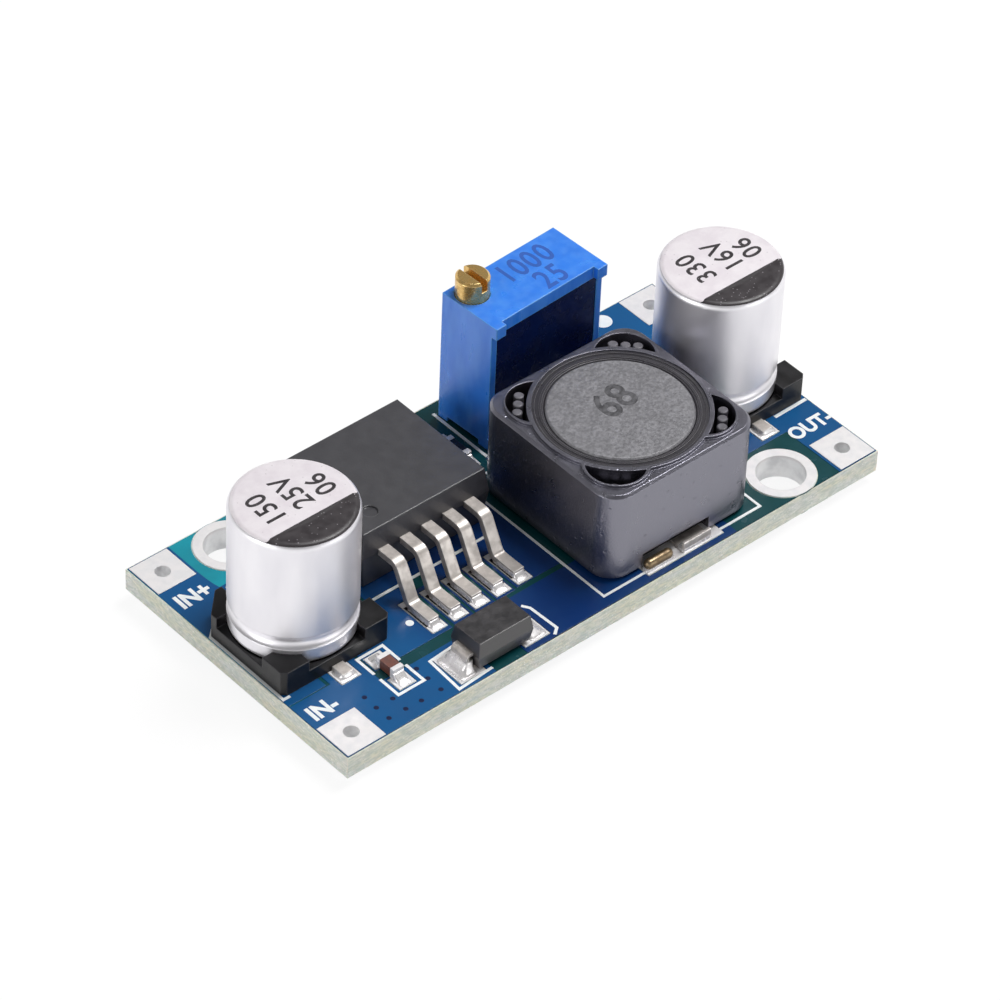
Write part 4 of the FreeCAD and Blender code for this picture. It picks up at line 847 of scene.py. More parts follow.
def solder_skirt(foot: Box, land: Box, low: float, high: float, waist: float) -> bpy.types.Mesh:
    """Builds the hollow-sided solder between a land and the metal that stands on it.

    Args:
        foot: The wetted metal's outline in mm.
        land: The land's outline in mm.
        low: The land's top in mm.
        high: How far the solder climbs, in mm.
        waist: How hollow the flank is.
    Returns:
        The skirt's mesh.
    """
    steps, sunk, sharp, round_share = 8, 0.004, 0.12, 0.2
    rings = []
    for step in range(steps + 1):
        t = step / steps
        box = tuple(a + (b - a) * t for a, b in zip(land, foot))
        shortest = min(box[2] - box[0], box[3] - box[1])
        flat = rectangle(box, 0, shortest * (sharp + round_share * math.sin(math.pi * t)))
        height = low - sunk + (high - low + sunk) * t ** waist
        rings.append([Vector((x, y, height)) for x, y in flat])
    return ringed("solder_skirt", rings)


class End(Enum):
    """The end of a part where a terminal's toe lies, as the sign of the way there."""

    LOW = -1
    HIGH = 1

    def of(self, low: float, high: float) -> float:
        """Picks the value that belongs to this end."""
        return low if self is End.LOW else high


class Run(Enum):
    """The axis that a terminal runs along."""

    ACROSS = "x"
    BACK = "y"


@dataclass(frozen=True)
class Toe:
    """A terminal's toe on its land, in mm.

    Fields: the end where it lies, the axis it runs along, the place of its tip, the place where its
    solder ends on the land, the length that the solder wets, how high it climbs and how hollow its
    flank is.
    """

    end: End
    run: Run
    tip: float
    outer: float
    wetted: float
    climb: float
    waist: float

    def solder(self, foot: Point, land: Point) -> bpy.types.Mesh:
        """Builds the solder round the toe.

        Args:
            foot: The toe's two sides in mm, low and high.
            land: The solder's two sides on the land in mm, low and high.
        Returns:
            The solder's mesh.
        """
        inner = self.tip - self.end.value * self.wetted
        boxes = [(sides[0], min(far, inner), sides[1], max(far, inner))
                 for sides, far in ((foot, self.tip), (land, self.outer))]
        if self.run is Run.ACROSS:
            boxes = [(box[1], box[0], box[3], box[2]) for box in boxes]
        return solder_skirt(*boxes, LAND_TOP, LAND_TOP + self.climb, self.waist)


def lathe(name: str, x: float, y: float, profile: list[Point], sides: int) -> bpy.types.Mesh:
    """Turns a profile about an upright axis.

    Args:
        name: The mesh's name.
        x: The axis' place across in mm.
        y: The axis' place back in mm.
        profile: Radius and height of each ring in mm.
        sides: How many points go round.
    Returns:
        The mesh, closed at both ends.
    """
    rings = [[Vector((px, py, z)) for px, py in circle(x, y, radius, sides)]
             for radius, z in profile]
    return ringed(name, rings)


@dataclass
class CircuitBoard:
    """The glass-fibre board with its solder mask, copper under the mask, vias and legend.

    Every place is in mm from the board's left front corner. A via's mouth has a radius against the
    via's and a height over the copper for each ring. A line of the legend has its points and its
    width, a dot its place, radius and points, and a wire's mark its name, text, place and height.
    """

    length: float = 43.2
    width: float = 21.0
    mask_inset: float = 0.08
    opening: float = 0.06
    pad_opening: float = 0.02
    opening_corner: float = 0.08
    mask_bottom: float = -0.025
    lower_copper: Point = (-0.055, -0.02)
    via_radius: float = 0.13
    via_sides: int = 18
    ring_sides: int = 56
    eyelet_sides: int = 28
    mark_ink: float = 0.02
    via_mouth: tuple[Point, ...] = ((1.35, -0.01), (1.25, 0.006), (1.0, 0.004), (0.3, 0.002))
    vias: tuple[Point, ...] = ((4.06, 3.32), (4.04, 2.21), (4.06, 1.07), (5.30, 2.19), (5.33, 1.04),
                               (6.46, 2.20), (6.51, 0.99), (8.03, 3.24), (8.03, 2.19), (8.02, 0.98))
    pours: dict[str, tuple[Point, ...]] = field(default_factory=lambda: {
        "ground_front": ((0.09, 0.09), (11.6, 0.09), (11.6, 3.75), (5.75, 3.75), (5.75, 8.0),
                         (3.2, 8.0), (3.2, 5.45), (0.09, 5.45)),
        "input": ((0.09, 5.53), (2.95, 5.53), (2.95, 8.25), (5.98, 8.25), (5.98, 4.6), (12.05, 4.6),
                  (12.05, 9.3), (9.0, 9.3), (9.0, 16.15), (3.4, 16.15), (3.33, 16.5), (3.26, 17.0),
                  (3.22, 17.73), (3.22, 20.91), (0.09, 20.91)),
        "switch": ((14.1, 0.1), (31.2, 0.1), (31.2, 4.0), (24.0, 4.4), (13.8, 4.4), (13.8, 8.5),
                   (12.3, 8.5), (12.3, 4.4), (12.5, 3.6), (14.1, 3.6)),
        "ground_under_regulator": ((9.5, 9.6), (14.0, 9.6), (14.0, 4.65), (15.5, 4.65), (15.5, 9.6),
                                   (17.35, 9.6), (17.35, 4.8), (21.0, 4.8), (21.0, 14.3),
                                   (20.3, 14.3), (20.3, 20.9), (9.5, 20.9)),
        "feedback": ((15.7, 4.7), (17.15, 4.7), (17.15, 9.3), (15.7, 9.3)),
        "output": ((23.6, 10.3), (33.9, 10.3), (33.9, 12.6), (43.11, 12.6), (43.11, 20.91),
                   (34.2, 20.91), (34.2, 14.9), (23.6, 14.9)),
        "ground_output": ((39.95, 0.09), (43.11, 0.09), (43.11, 9.6), (34.4, 9.6), (34.4, 4.9),
                          (39.95, 4.9)),
    })
    lower_pour: tuple[Point, ...] = ((3.6, 0.4), (34.2, 0.4), (34.2, 5.2), (39.8, 5.2),
                                     (39.8, 20.6), (9.0, 20.6), (9.0, 15.8), (3.6, 15.8))
    legend: tuple[tuple[tuple[Point, ...], float], ...] = (
        (((7.75, 3.85), (7.75, 2.2), (5.76, 2.2), (5.76, 3.85)), 0.2),
        (((7.75, 4.5), (7.75, 6.05), (5.76, 6.05), (5.76, 4.5)), 0.2),
        (((11.09, 3.35), (9.06, 3.20), (8.88, 0.30), (11.57, 0.48)), 0.2),
        (((16.51, 3.36), (16.78, 2.94), (16.89, 0.63), (16.45, 0.29)), 0.2),
        (((9.93, 9.45), (18.8, 9.45)), 0.2),
        (((24.32, 0.88), (20.93, 0.88), (20.93, 13.8), (23.9, 13.8)), 0.18),
        (((30.56, 0.88), (33.88, 0.88), (33.88, 13.8), (30.9, 13.8)), 0.18),
        (((2.1, 14.74), (0.2, 13.03), (0.2, 6.17), (0.65, 6.17)), 0.2),
        (((8.9, 10.2), (9.0, 9.75), (9.35, 9.45)), 0.18),
        (((40.40, 6.37), (42.96, 6.40)), 0.25),
        (((23.78, 15.0), (23.78, 20.05)), 0.2),
        (((21.3, 14.45), (21.3, 18.6)), 0.18),
    )
    legend_dots: tuple[tuple[float, float, float, int], ...] = ((10.28, 6.5, 0.26, 20),
                                                                (38.1, 20.1, 0.62, 28))
    wire_marks: tuple[tuple[str, str, float, float, float], ...] = (
        ("legend_input_positive", "IN+", 1.72, 16.55, 1.22),
        ("legend_input_negative", "IN-", 1.55, 4.15, 1.2),
        ("legend_output_negative", "OUT-", 41.5, 4.42, 1.1),
        ("legend_output_positive", "OUT+", 41.35, 16.8, 1.0),
    )

    def land_openings(self) -> list[list[Point]]:
        """Gives the mask's openings over the lands, which are on the top face only."""
        return [rectangle((low.x, low.y, high.x, high.y), self.opening, self.opening_corner)
                for low, high in islands(LANDS)]

    def through_openings(self) -> list[list[Point]]:
        """Works out the mask's openings round plated holes, which both faces have.

        Returns:
            The openings' outlines in the frame, in mm.
        """
        found = []
        for name in CORNER_PADS:
            low, high = box_of(name)
            found.append(rectangle((low.x, low.y, high.x, high.y), self.pad_opening,
                                   self.opening_corner))
        rings = [(box_of(name), self.ring_sides) for name in MOUNT_RINGS]
        rings += [(box, self.eyelet_sides) for box in islands("trimmer_pin_eyelets")]
        for (low, high), sides in rings:
            found.append(circle(*centre(low, high), (high.x - low.x) / 2 + self.opening, sides))
        return found

    def mask(self) -> None:
        """Lays the mask over the bare laminate, top and bottom."""
        corner = (CORNER_X, CORNER_Y, CORNER_X + self.length, CORNER_Y + self.width)
        rim = rectangle(corner, -self.mask_inset)
        through = self.through_openings()
        above = [rim] + self.land_openings() + through
        top, bottom = "solder_mask_top", "solder_mask_bottom"
        add_piece(top, plate(top, above, LAMINATE_TOP, MASK_TOP), MASK)
        add_piece(bottom, plate(bottom, [rim] + through, self.mask_bottom, 0.0), MASK)

    @staticmethod
    def _enclosed(rings: list[list[Point]], outline: list[Point], name: str) -> list[list[Point]]:
        """Picks the openings inside an area and reports those that cross its edge.

        Args:
            rings: The openings.
            outline: The area's outline.
            name: The area's name.
        Returns:
            The openings that lie inside.
        """
        held = []
        for ring in rings:
            within = [inside(spot, outline) for spot in ring]
            if all(within):
                held.append(ring)
            elif any(within):
                log.warning("opening at %s crosses the copper %s", ring[0], name)
        return held

    def copper(self) -> None:
        """Raises the mask where copper lies under it, with the openings inside each area."""
        through = self.through_openings()
        openings = self.land_openings() + through
        meshes = []
        for name, corners in self.pours.items():
            outline = [on_board(x, y) for x, y in corners]
            outlines = [outline] + self._enclosed(openings, outline, name)
            meshes.append(plate(name, outlines, MASK_TOP - COAT_SUNK, MASKED_COPPER_TOP))
        add_piece("copper_under_mask_top", joined("copper_under_mask_top", meshes), MASK_ON_COPPER)
        name = "copper_under_mask_bottom"
        outline = [on_board(x, y) for x, y in self.lower_pour]
        outlines = [outline] + self._enclosed(through, outline, name)
        add_piece(name, plate(name, outlines, *self.lower_copper), MASK_ON_COPPER)

    def via_mouths(self) -> None:
        """Sinks the mask into the vias' mouths on the top face."""
        profile = [(self.via_radius * wide, MASKED_COPPER_TOP + high)
                   for wide, high in self.via_mouth]
        mouths = [lathe("via", *on_board(*spot), profile, self.via_sides) for spot in self.vias]
        add_piece("vias_top", joined("vias_top", mouths), VIA_MASK, smooth=True)

    def print_legend(self) -> None:
        """Prints the legend: outlines of the parts and the marks of the four wire pads."""
        shapes = [stroke([on_board(x, y) for x, y in ends], width) for ends, width in self.legend]
        shapes += [circle(*on_board(x, y), radius, sides)
                   for x, y, radius, sides in self.legend_dots]
        low = MASK_TOP - PRINT_SUNK
        meshes = [plate("legend_shape", [shape], low, LEGEND_TOP) for shape in shapes]
        add_piece("legend_outlines", joined("legend_outlines", meshes), LEGEND_INK)
        for name, text, x, y, height in self.wire_marks:
            place = (*on_board(x, y), LEGEND_TOP - self.mark_ink)
            printed(name, text, place, height, LEGEND_INK, bold=0.05, depth=self.mark_ink, wide=0.9)

    def build(self) -> None:
        """Dresses the board and its metal, then lays mask, copper, vias and legend."""
        LAMINATE.dress("circuit_board")
        TINNED.dress(LANDS, *CORNER_PADS, *MOUNT_RINGS, "trimmer_pin_eyelets")
        SOLDER.dress("trimmer_pin_solder")
        self.mask()
        self.copper()
        self.via_mouths()
        self.print_legend()


@dataclass
class Capacitor:
    """A can capacitor: printed can, moulded base, two terminals and their solder.

    Each line of print has its text and its place from the can's axis. Sizes are in mm.
    """

    name: str
    lines: tuple[tuple[str, float, float], ...]
    segment_chord: float
    figure: float = 1.42
    flat_radius: float = 3.55
    rounding: float = 0.45
    band_radius: float = 3.86
    lacquer_radius: float = 3.84
    lacquer_drop: float = 0.12
    lacquer_reach: float = 0.3
    ink: float = 0.012
    ink_sunk: float = 0.004
    wetted: float = 0.9
    land_margin: float = 0.04
    climb: float = 0.28
    waist: float = 2.2
    terminal_slack: float = 1.0
    lacquer_sides: int = 72

    def _drop(self, over: float) -> float:
        """Gives how far the can's edge has fallen at a distance past its flat top, in mm."""
        return self.rounding - math.sqrt(self.rounding ** 2 - over ** 2)

    def _lacquer(self, x: float, y: float, top: float) -> bpy.types.Mesh:
        """Lays lacquer on the can's top, thinner than the print, down to its rounded edge.

        Args:
            x: The can's axis across in mm.
            y: The can's axis back in mm.
            top: The can's top in mm.
        Returns:
            The lacquer's mesh.
        """
        film, steps = self.ink / 2, 8
        profile = [(self.lacquer_radius, top - self.lacquer_drop)]
        for i in range(steps + 1):
            over = self.lacquer_reach * (1 - i / steps)
            outward = film * over / self.rounding
            profile.append((self.flat_radius + over + outward, top - self._drop(over) + film))
        return lathe("lacquer", x, y, profile, self.lacquer_sides)

    def _band(self, x: float, y: float, top: float) -> bpy.types.Mesh:
        """Lays the dark band on the can's top and over its rounded edge.

        Args:
            x: The can's axis across in mm.
            y: The can's axis back in mm.
            top: The can's top in mm.
        Returns:
            The band's mesh.
        """
        half = math.acos(self.segment_chord / self.band_radius)
        solid = bmesh.new()
        rows = []
        along, across = 48, 12
        for i in range(along + 1):
            turn = -math.pi / 2 - half + 2 * half * i / along
            inner = min(self.segment_chord / math.cos(turn + math.pi / 2), self.band_radius)
            row = []
            for j in range(across + 1):
                # The columns lie closer together towards the rounded edge.
                radius = inner + (self.band_radius - inner) * (j / across) ** 0.6
                over = max(0.0, radius - self.flat_radius)
                reach = radius + over / self.rounding * self.ink
                spot = Vector((x + reach * math.cos(turn), y + reach * math.sin(turn),
                               top - self._drop(over) + self.ink))
                row.append(solid.verts.new(spot / 1000))
            rows.append(row)
        for a, b in zip(rows, rows[1:]):
            for j in range(across):
                solid.faces.new((a[j], b[j], b[j + 1], a[j + 1]))
        bmesh.ops.remove_doubles(solid, verts=solid.verts, dist=1e-8)
        bmesh.ops.dissolve_degenerate(solid, edges=solid.edges, dist=1e-9)
        bmesh.ops.recalc_face_normals(solid, faces=solid.faces)
        if sum(face.normal.z for face in solid.faces) < 0:
            bmesh.ops.reverse_faces(solid, faces=solid.faces)
        bmesh.ops.solidify(solid, geom=solid.faces[:], thickness=self.ink / 1000)
        # The last step's order changes from run to run, and sorting by place gives one order.
        sweep = Vector((1.0, 0.31, 0.17))
        solid.verts.sort(key=lambda vert: vert.co.dot(sweep))
        solid.faces.sort(key=lambda face: face.calc_center_median().dot(sweep))
        mesh = bpy.data.meshes.new("band")
        solid.to_mesh(mesh)
        solid.free()
        return mesh

    def build(self) -> None:
        """Dresses the can, base and terminals, prints the can's top and lays the solder."""
        ALUMINIUM.dress(f"{self.name}_can")
        BASE_NYLON.dress(f"{self.name}_base")
        terminals = [f"{self.name}_terminal_negative", f"{self.name}_terminal_positive"]
        TIN_PLATE.dress(*terminals)
        low, high = box_of(f"{self.name}_can")
        (x, y), top = centre(low, high), high.z
        add_piece(f"{self.name}_top_lacquer", self._lacquer(x, y, top), TOP_LACQUER, smooth=True)
        add_piece(f"{self.name}_polarity_band", self._band(x, y, top), CAN_INK, smooth=True)
        for count, (text, across, back) in enumerate(self.lines, 1):
            printed(f"{self.name}_rating_{count}", text,
                    (x + across, y + back, top - self.ink_sunk), self.figure, CAN_INK, turn=90,
                    bold=0.018, depth=self.ink, wide=0.9, spacing=1.1)
        skirts = []
        for terminal in terminals:
            low, high = box_of(terminal)
            land_low, land_high = land_under(*centre(low, high), self.terminal_slack)
            end = End.LOW if abs(low.y - y) > abs(high.y - y) else End.HIGH
            toe = Toe(end, Run.BACK, end.of(low.y, high.y), end.of(land_low.y, land_high.y),
                      self.wetted, self.climb, self.waist)
            land = (land_low.x + self.land_margin, land_high.x - self.land_margin)
            skirts.append(toe.solder((low.x, high.x), land))
        add_piece(f"{self.name}_solder", joined("solder", skirts), SOLDER, smooth=True)


@dataclass
class Regulator:
    """The five-lead regulator on its heat-spreading tab. Sizes are in mm."""

    foot_length: float = 1.6
    foot_margin: float = 0.01
    lead_climb: float = 0.29
    lead_waist: float = 1.8
    lead_margin: float = 0.05
    heel: float = 0.5
    # A dark film of painted shadow beside each foot: its thickness, its reach past the heel and its
    # inset from the land, in mm.
    shadow_film_thickness: float = 0.008
    shadow_film_heel: float = 0.55
    shadow_film_inset: float = 0.02
    tab_wetted: float = 1.6
    tab_heel: float = 0.3
    tab_climb: float = 0.6
    tab_waist: float = 2.2

    def _lead(self, name: str) -> tuple[bpy.types.Mesh, bpy.types.Mesh]:
        """Lays the solder and a dark film of painted shadow round a lead's foot.

        Args:
            name: The lead's node.
        Returns:
            The solder's mesh and the painted shadow film's.
        """
        low, high = box_of(name)
        land_low, land_high = land_under((low.x + high.x) / 2, low.y)
        near, wide, inset = self.foot_margin, self.lead_margin, self.shadow_film_inset
        heel = low.y + self.foot_length
        foot = (low.x - near, low.y - near, high.x + near, heel)
        land = (low.x - wide, land_low.y + wide, high.x + wide, heel + self.heel)
        solder = solder_skirt(foot, land, LAND_TOP, LAND_TOP + self.lead_climb, self.lead_waist)
        # The film of painted shadow, on the land round the foot.
        outline = rectangle((land_low.x + inset, low.y + inset, land_high.x - inset,
                             min(land_high.y, heel + self.shadow_film_heel)))
        return solder, plate("film", [outline], LAND_TOP - COAT_SUNK, LAND_TOP + self.shadow_film_thickness)

    def build(self) -> None:
        """Dresses body, tab and leads, lays the solder at each lead and along the tab, and lays a
        dark film of painted shadow beside each foot.
        """
        MOULDING_COMPOUND.dress("regulator_body")
        leads = [f"regulator_lead_{i}" for i in range(1, 6)]
        TIN_PLATE.dress("regulator_tab", *leads)
        pairs = [self._lead(lead) for lead in leads]
        low, high = box_of("regulator_tab")
        land_low, land_high = max(islands(LANDS),
                                  key=lambda b: (b[1].x - b[0].x) * (b[1].y - b[0].y))
        start, margin = high.y - self.tab_wetted, self.lead_margin
        land = (land_low.x + margin, start - self.tab_heel, land_high.x - margin,
                land_high.y - margin)
        tab = solder_skirt((low.x, start, high.x, high.y), land, LAND_TOP,
                           LAND_TOP + self.tab_climb, self.tab_waist)
        skirts = [solder for solder, _ in pairs] + [tab]
        add_piece("regulator_solder", joined("solder", skirts), SOLDER, smooth=True)
        # The dark films are painted shadow beside the feet.
        add_piece("regulator_painted_shadow_film", joined("film", [film for _, film in pairs]), SHADOW_FILM)


@dataclass
class Inductor:
    """The shielded inductor. Sizes are in mm; each lip has its inner and outer radius."""

    rib_top: float = 8.5
    rib_sides: int = 20
    rib_sunk: float = 0.1
    rib_share: float = 0.97
    rib_bevel: float = 0.05
    rib_bevel_share: float = 0.8
    lips: tuple[Point, ...] = ((4.84, 5.0), (5.25, 5.43))
    lip: float = 0.05
    lip_sides: int = 72
    mark_place: Point = (6.25, -2.3)
    figure: float = 2.3
    ink: float = 0.012
    wetted: float = 0.6
    toe_reach: float = 0.06
    side_reach: float = 0.1
    waist: float = 1.6
    climbs: tuple[tuple[str, float], ...] = (("clip", 0.22), ("wire_end", 0.16))

    def _rib_tips(self) -> bpy.types.Mesh:
        """Carries the ribs of three corners up to a bevelled tip below the shield's face.

        Returns:
            The tips' mesh.
        """
        tips = []
        middle = centre(*box_of("inductor_shield"))
        for low, high in islands("inductor_corner_ribs"):
            if high.x < middle[0] and high.y < middle[1]:
                continue
            radius = (high.x - low.x) / 2 * self.rib_share
            profile = [(radius, high.z - self.rib_sunk), (radius, self.rib_top - self.rib_bevel),
                       (radius * self.rib_bevel_share, self.rib_top)]
            tips.append(lathe("tip", *centre(low, high), profile, self.rib_sides))
        return joined("tips", tips)

    def _bond_lips(self) -> bpy.types.Mesh:
        """Lays the two thin lips of resin on the bond ring.

        Returns:
            The lips' mesh.
        """
        low, high = box_of("inductor_bond_ring")
        lips = []
        for radii in self.lips:
            edges = [circle(*centre(low, high), radius, self.lip_sides) for radius in radii[::-1]]
            lips.append(plate("lip", edges, high.z - PRINT_SUNK, high.z + self.lip))
        return joined("lips", lips)

    def build(self) -> None:
        """Dresses the pieces, marks the face and lays the ribs' tips, the lips and the solder."""
        FERRITE.dress("inductor_shield")
        DRUM_FERRITE.dress("inductor_drum_core")
        ENAMELLED_WIRE.dress("inductor_winding")
        DIPPED_WIRE.dress("inductor_wire_end_front", "inductor_wire_end_back")
        BLACK_EPOXY.dress("inductor_bond_ring")
        BASE_NYLON.dress("inductor_base")
        GREY_POLYMER.dress("inductor_corner_ribs")
        TIN_PLATE.dress("inductor_clip_front", "inductor_clip_back")
        add_piece("inductor_rib_tips", self._rib_tips(), GREY_POLYMER)
        add_piece("inductor_bond_lips", self._bond_lips(), BLACK_EPOXY)
        top = box_of("inductor_drum_core")[1].z
        printed("inductor_mark", "68", (*self.mark_place, top - self.ink / 2), self.figure,
                DRUM_INK, turn=8, bold=0.02, depth=self.ink, wide=0.9)
        skirts = []
        for end, side in ((End.LOW, "front"), (End.HIGH, "back")):
            for part, climb in self.climbs:
                low, high = box_of(f"inductor_{part}_{side}")
                tip = end.of(low.y, high.y)
                outer = tip + end.value * self.toe_reach
                toe = Toe(end, Run.BACK, tip, outer, self.wetted, climb, self.waist)
                land = (low.x - self.side_reach, high.x + self.side_reach)
                skirts.append(toe.solder((low.x, high.x), land))
        add_piece("inductor_solder", joined("solder", skirts), SOLDER, smooth=True)


@dataclass
class Trimmer:
    """The multi-turn trimmer with its adjusting screw.

    Each mark has its name, text and place in mm.
    """

    turn: float = 2.9
    figure: float = 1.75
    ink: float = 0.01
    ink_sunk: float = 0.004
    marks: tuple[tuple[str, str, float, float], ...] = (("value", "1000", 8.35, 8.35),
                                                        ("step", "25", 8.65, 6.4))

    def build(self) -> None:
        """Dresses the trimmer's pieces and marks its top."""
        BLUE_DAP.dress("trimmer_housing")
        NAVY_POTTING.dress("trimmer_potting")
        BRASS.dress("trimmer_screw")
        SILICONE.dress("trimmer_seal_ring")
        ACETAL.dress("trimmer_rotor")
        SPRING.dress("trimmer_wiper")
        ALUMINA.dress("trimmer_element")
        TIN_PLATE.dress("trimmer_pin_1", "trimmer_pin_2", "trimmer_pin_3")
        top = box_of("trimmer_housing")[1].z
        for name, text, x, y in self.marks:
            printed(f"trimmer_mark_{name}", text, (x, y, top - self.ink_sunk), self.figure,
                    MARKED_DAP, turn=self.turn, bold=0.02, depth=self.ink, wide=0.82, spacing=1.1)


@dataclass
class Diode:
    """The rectifier diode with its two soldered terminals. Sizes are in mm."""

    wetted: float = 0.5
    climb: float = 0.75
    waist: float = 1.7
    end_margin: float = 0.06
    side_margin: float = 0.1

    def build(self) -> None:
        """Dresses the body and terminals and lays the solder."""
        DIODE_COMPOUND.dress("diode_body")
        skirts = []
        for end, terminal in ((End.LOW, "diode_terminal_input"),
                              (End.HIGH, "diode_terminal_output")):
            TIN_PLATE.dress(terminal)
            low, high = box_of(terminal)
            tip = end.of(low.x, high.x)
            land_low, land_high = land_under(tip, low.y)
            outer = end.of(land_low.x, land_high.x) - end.value * self.end_margin
            toe = Toe(end, Run.ACROSS, tip, outer, self.wetted, self.climb, self.waist)
            land = (land_low.y + self.side_margin, land_high.y - self.side_margin)
            skirts.append(toe.solder((low.y, high.y), land))
        add_piece("diode_solder", joined("solder", skirts), SOLDER, smooth=True)


@dataclass
class ChipPart:
    """A two-ended chip part, with a land at its front and one at its back. Sizes are in mm."""

    name: str
    body: Finish
    climb: float
    waist: float = 1.8
    wetted: float = 0.3
    end_margin: float = 0.04
    side_reach: float = 0.02
    slack: float = 0.1

    def build(self) -> None:
        """Dresses the body and its ends and lays the solder."""
        self.body.dress(f"{self.name}_body")
        TINNED.dress(f"{self.name}_ends")
        skirts = []
        low, high = box_of(f"{self.name}_ends")
        for land_low, land_high in islands(LANDS):
            across, back = centre(land_low, land_high)
            beside = land_high.y < low.y - self.slack or land_low.y > high.y + self.slack
            if beside or not low.x < across < high.x:
                continue
            end = End.LOW if back < (low.y + high.y) / 2 else End.HIGH
            outer = end.of(land_low.y, land_high.y) - end.value * self.end_margin
            toe = Toe(end, Run.BACK, end.of(low.y, high.y), outer, self.wetted, self.climb,
                      self.waist)
            land = (low.x - self.side_reach, high.x + self.side_reach)
            skirts.append(toe.solder((low.x, high.x), land))
        add_piece(f"{self.name}_solder", joined("solder", skirts), SOLDER, smooth=True)


@dataclass(frozen=True)
class Lamp:
    """A soft square lamp: its name, place in metres, power in watts and side in metres."""

    name: str
    place: tuple[float, float, float]
    power: float
    side: float

    def hang(self) -> None:
        """Hangs the lamp, facing the object."""
        data = bpy.data.lights.new(self.name, "AREA")
        data.energy = self.power
        data.size = self.side
        lamp = bpy.data.objects.new(self.name, data)
        bpy.context.scene.collection.objects.link(lamp)
        lamp.location = self.place
        lamp.rotation_euler = (-Vector(self.place)).to_track_quat("-Z", "Y").to_euler()


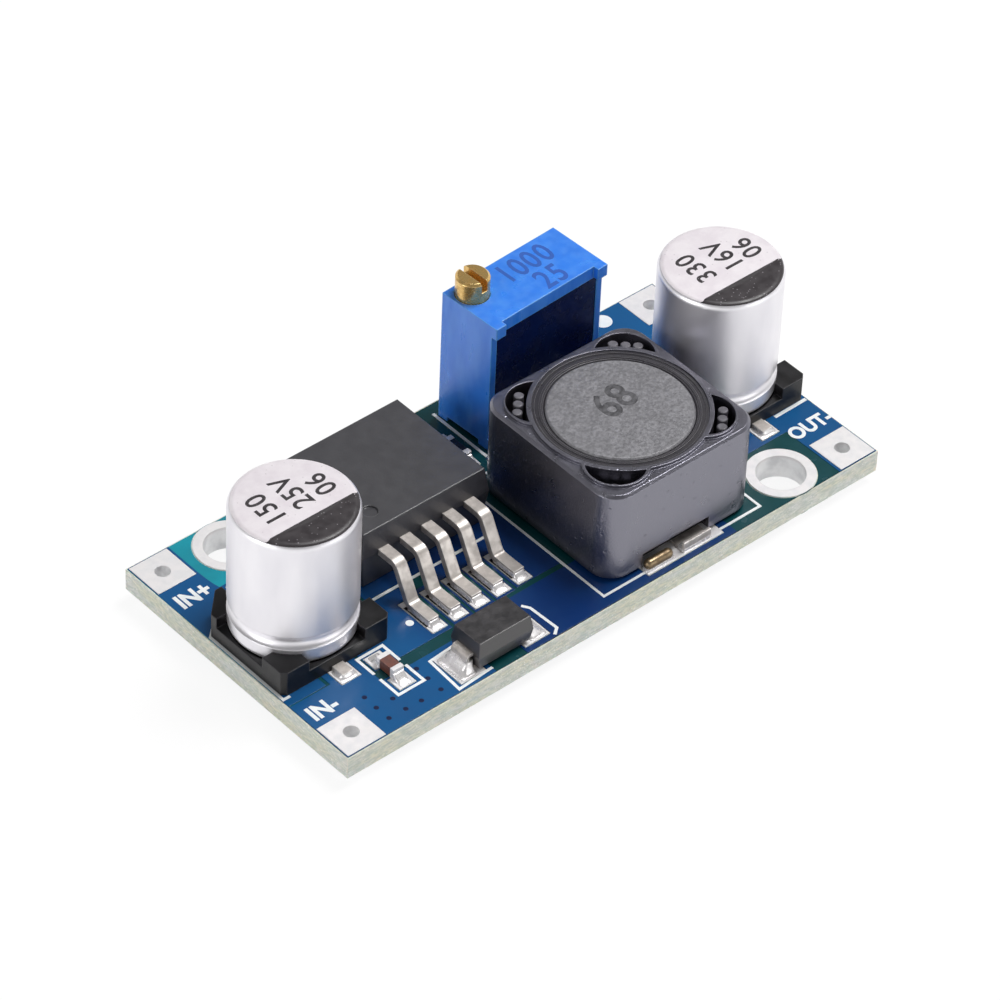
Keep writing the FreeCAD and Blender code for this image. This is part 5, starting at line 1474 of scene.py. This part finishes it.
@dataclass
class Studio:
    """White floor and surroundings, soft light and the camera.

    The eye, the lens and the sensor are in mm, the clips and the floor's sizes in metres. The sky
    and the ceiling are strengths of white light: the first is what lights the object, the second
    what its level faces mirror. The glow's share is how much of the floor shines by itself where
    the camera or a mirror sees it.
    """

    eye: tuple[float, float, float] = (-166.584, -178.802, 222.937)
    right: tuple[float, float, float] = (0.75309, -0.65705, 0.03388)
    down: tuple[float, float, float] = (-0.42183, -0.52172, -0.74153)
    ahead: tuple[float, float, float] = (0.5049, 0.54414, -0.67007)
    lens: float = 192.84
    sensor: float = 36.0
    clips: Point = (0.01, 20.0)
    sky: float = 0.25
    ceiling: float = 0.2
    ceiling_rise: Point = (0.15, 0.5)
    floor_reach: float = 1.6
    floor_drop: float = 0.00002
    floor_grey: float = 0.8
    floor_glow: float = 1.05
    floor_glow_share: float = 0.86
    lamps: tuple[Lamp, ...] = (
        Lamp("key_lamp", (0.20, -0.02, 0.44), 2.0, 0.22),
        Lamp("front_lamp", (0.12, -0.32, 0.10), 0.16, 0.16),
        Lamp("side_lamp", (-0.34, 0.0, 0.12), 0.36, 0.16),
    )

    def camera(self) -> None:
        """Sets the camera up as the photograph was taken."""
        data = bpy.data.cameras.new("camera")
        data.lens = self.lens
        data.sensor_width = self.sensor
        data.clip_start, data.clip_end = self.clips
        camera = bpy.data.objects.new("camera", data)
        bpy.context.scene.collection.objects.link(camera)
        turn = Matrix((self.right, [-v for v in self.down], [-v for v in self.ahead])).transposed()
        camera.matrix_world = Matrix.Translation(metres(*self.eye)) @ turn.to_4x4()
        bpy.context.scene.camera = camera

    def surroundings(self) -> None:
        """Makes the room: white where seen, a greyer ceiling in mirrors, soft light elsewhere."""
        world = bpy.data.worlds.new("white_room")
        world.use_nodes = True
        tree = world.node_tree
        tree.nodes.clear()
        rays = add_node(tree, "ShaderNodeLightPath")
        mirrored = add_node(tree, "ShaderNodeMath", {"operation": "MAXIMUM"},
                            {0: rays.outputs["Is Glossy Ray"],
                             1: rays.outputs["Is Transmission Ray"]})
        way = add_node(tree, "ShaderNodeSeparateXYZ", {},
                       {0: add_node(tree, "ShaderNodeTexCoord").outputs["Generated"]})
        ceiling = add_node(tree, "ShaderNodeMapRange",
                           {"interpolation_type": "SMOOTHSTEP", "From Min": self.ceiling_rise[0],
                            "From Max": self.ceiling_rise[1], "To Min": 1.0,
                            "To Max": self.ceiling}, {"Value": way.outputs[2]})
        lit = add_node(tree, "ShaderNodeBackground", {"Color": (1, 1, 1, 1), "Strength": self.sky})
        room = add_node(tree, "ShaderNodeBackground", {"Color": (1, 1, 1, 1)},
                        {"Strength": ceiling.outputs[0]})
        white = add_node(tree, "ShaderNodeBackground", {"Color": (1, 1, 1, 1), "Strength": 1.0})
        mix = add_node(tree, "ShaderNodeMixShader", {},
                       {0: mirrored.outputs[0], 1: lit.outputs[0], 2: room.outputs[0]})
        mix = add_node(tree, "ShaderNodeMixShader", {},
                       {0: rays.outputs["Is Camera Ray"], 1: mix.outputs[0], 2: white.outputs[0]})
        add_node(tree, "ShaderNodeOutputWorld", {}, {"Surface": mix.outputs[0]})
        bpy.context.scene.world = world

    def floor(self) -> None:
        """Lays the white floor, which keeps a faint shadow."""
        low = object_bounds()[0]
        mesh = bpy.data.meshes.new("floor")
        reach = self.floor_reach
        corners = [(x, y, 0) for x, y in rectangle((-reach, -reach, reach, reach))]
        mesh.from_pydata(corners, [], [(0, 1, 2, 3)])
        floor = bpy.data.objects.new("floor", mesh)
        bpy.context.scene.collection.objects.link(floor)
        floor.location = (0, 0, low[2] - self.floor_drop)
        paint = bpy.data.materials.new("white_paper_floor")
        paint.use_nodes = True
        tree = paint.node_tree
        tree.nodes.clear()
        rays = add_node(tree, "ShaderNodeLightPath")
        seen = add_node(tree, "ShaderNodeMath", {"operation": "MAXIMUM"},
                        {0: rays.outputs["Is Camera Ray"], 1: rays.outputs["Is Glossy Ray"]})
        card = add_node(tree, "ShaderNodeBsdfDiffuse", {"Color": (*[self.floor_grey] * 3, 1)})
        glow = add_node(tree, "ShaderNodeEmission",
                        {"Color": (1, 1, 1, 1), "Strength": self.floor_glow})
        share = add_node(tree, "ShaderNodeMath",
                         {"operation": "MULTIPLY", 1: self.floor_glow_share}, {0: seen.outputs[0]})
        mix = add_node(tree, "ShaderNodeMixShader", {},
                       {0: share.outputs[0], 1: card.outputs[0], 2: glow.outputs[0]})
        add_node(tree, "ShaderNodeOutputMaterial", {}, {"Surface": mix.outputs[0]})
        mesh.materials.append(paint)
        floor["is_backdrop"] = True

    def build(self) -> None:
        """Sets up the view settings, camera, surroundings, floor and lamps."""
        bpy.context.scene.view_settings.view_transform = "Standard"
        self.camera()
        self.surroundings()
        self.floor()
        for lamp in self.lamps:
            lamp.hang()


def main() -> None:
    """Builds the studio and every sub-assembly and reports each."""
    logging.basicConfig(level=logging.INFO, format="%(name)s: %(message)s")
    Studio().build()
    parts = [
        CircuitBoard(),
        Capacitor("input_capacitor",
                  (("150", -1.75, 0.65), ("25V", 0.35, 0.75), ("06", 2.15, 0.2)), 1.6),
        Capacitor("output_capacitor",
                  (("330", -1.55, 0.75), ("16V", 0.6, 0.75), ("06", 2.3, 0.2)), 1.78),
        Regulator(),
        Inductor(),
        Trimmer(),
        Diode(),
        ChipPart("chip_capacitor", TITANATE, 0.45),
        ChipPart("chip_resistor", GLAZE, 0.3),
    ]
    for part in parts:
        part.build()
        log.info("built %s", getattr(part, "name", type(part).__name__))


if __name__ == "__main__":
    main()
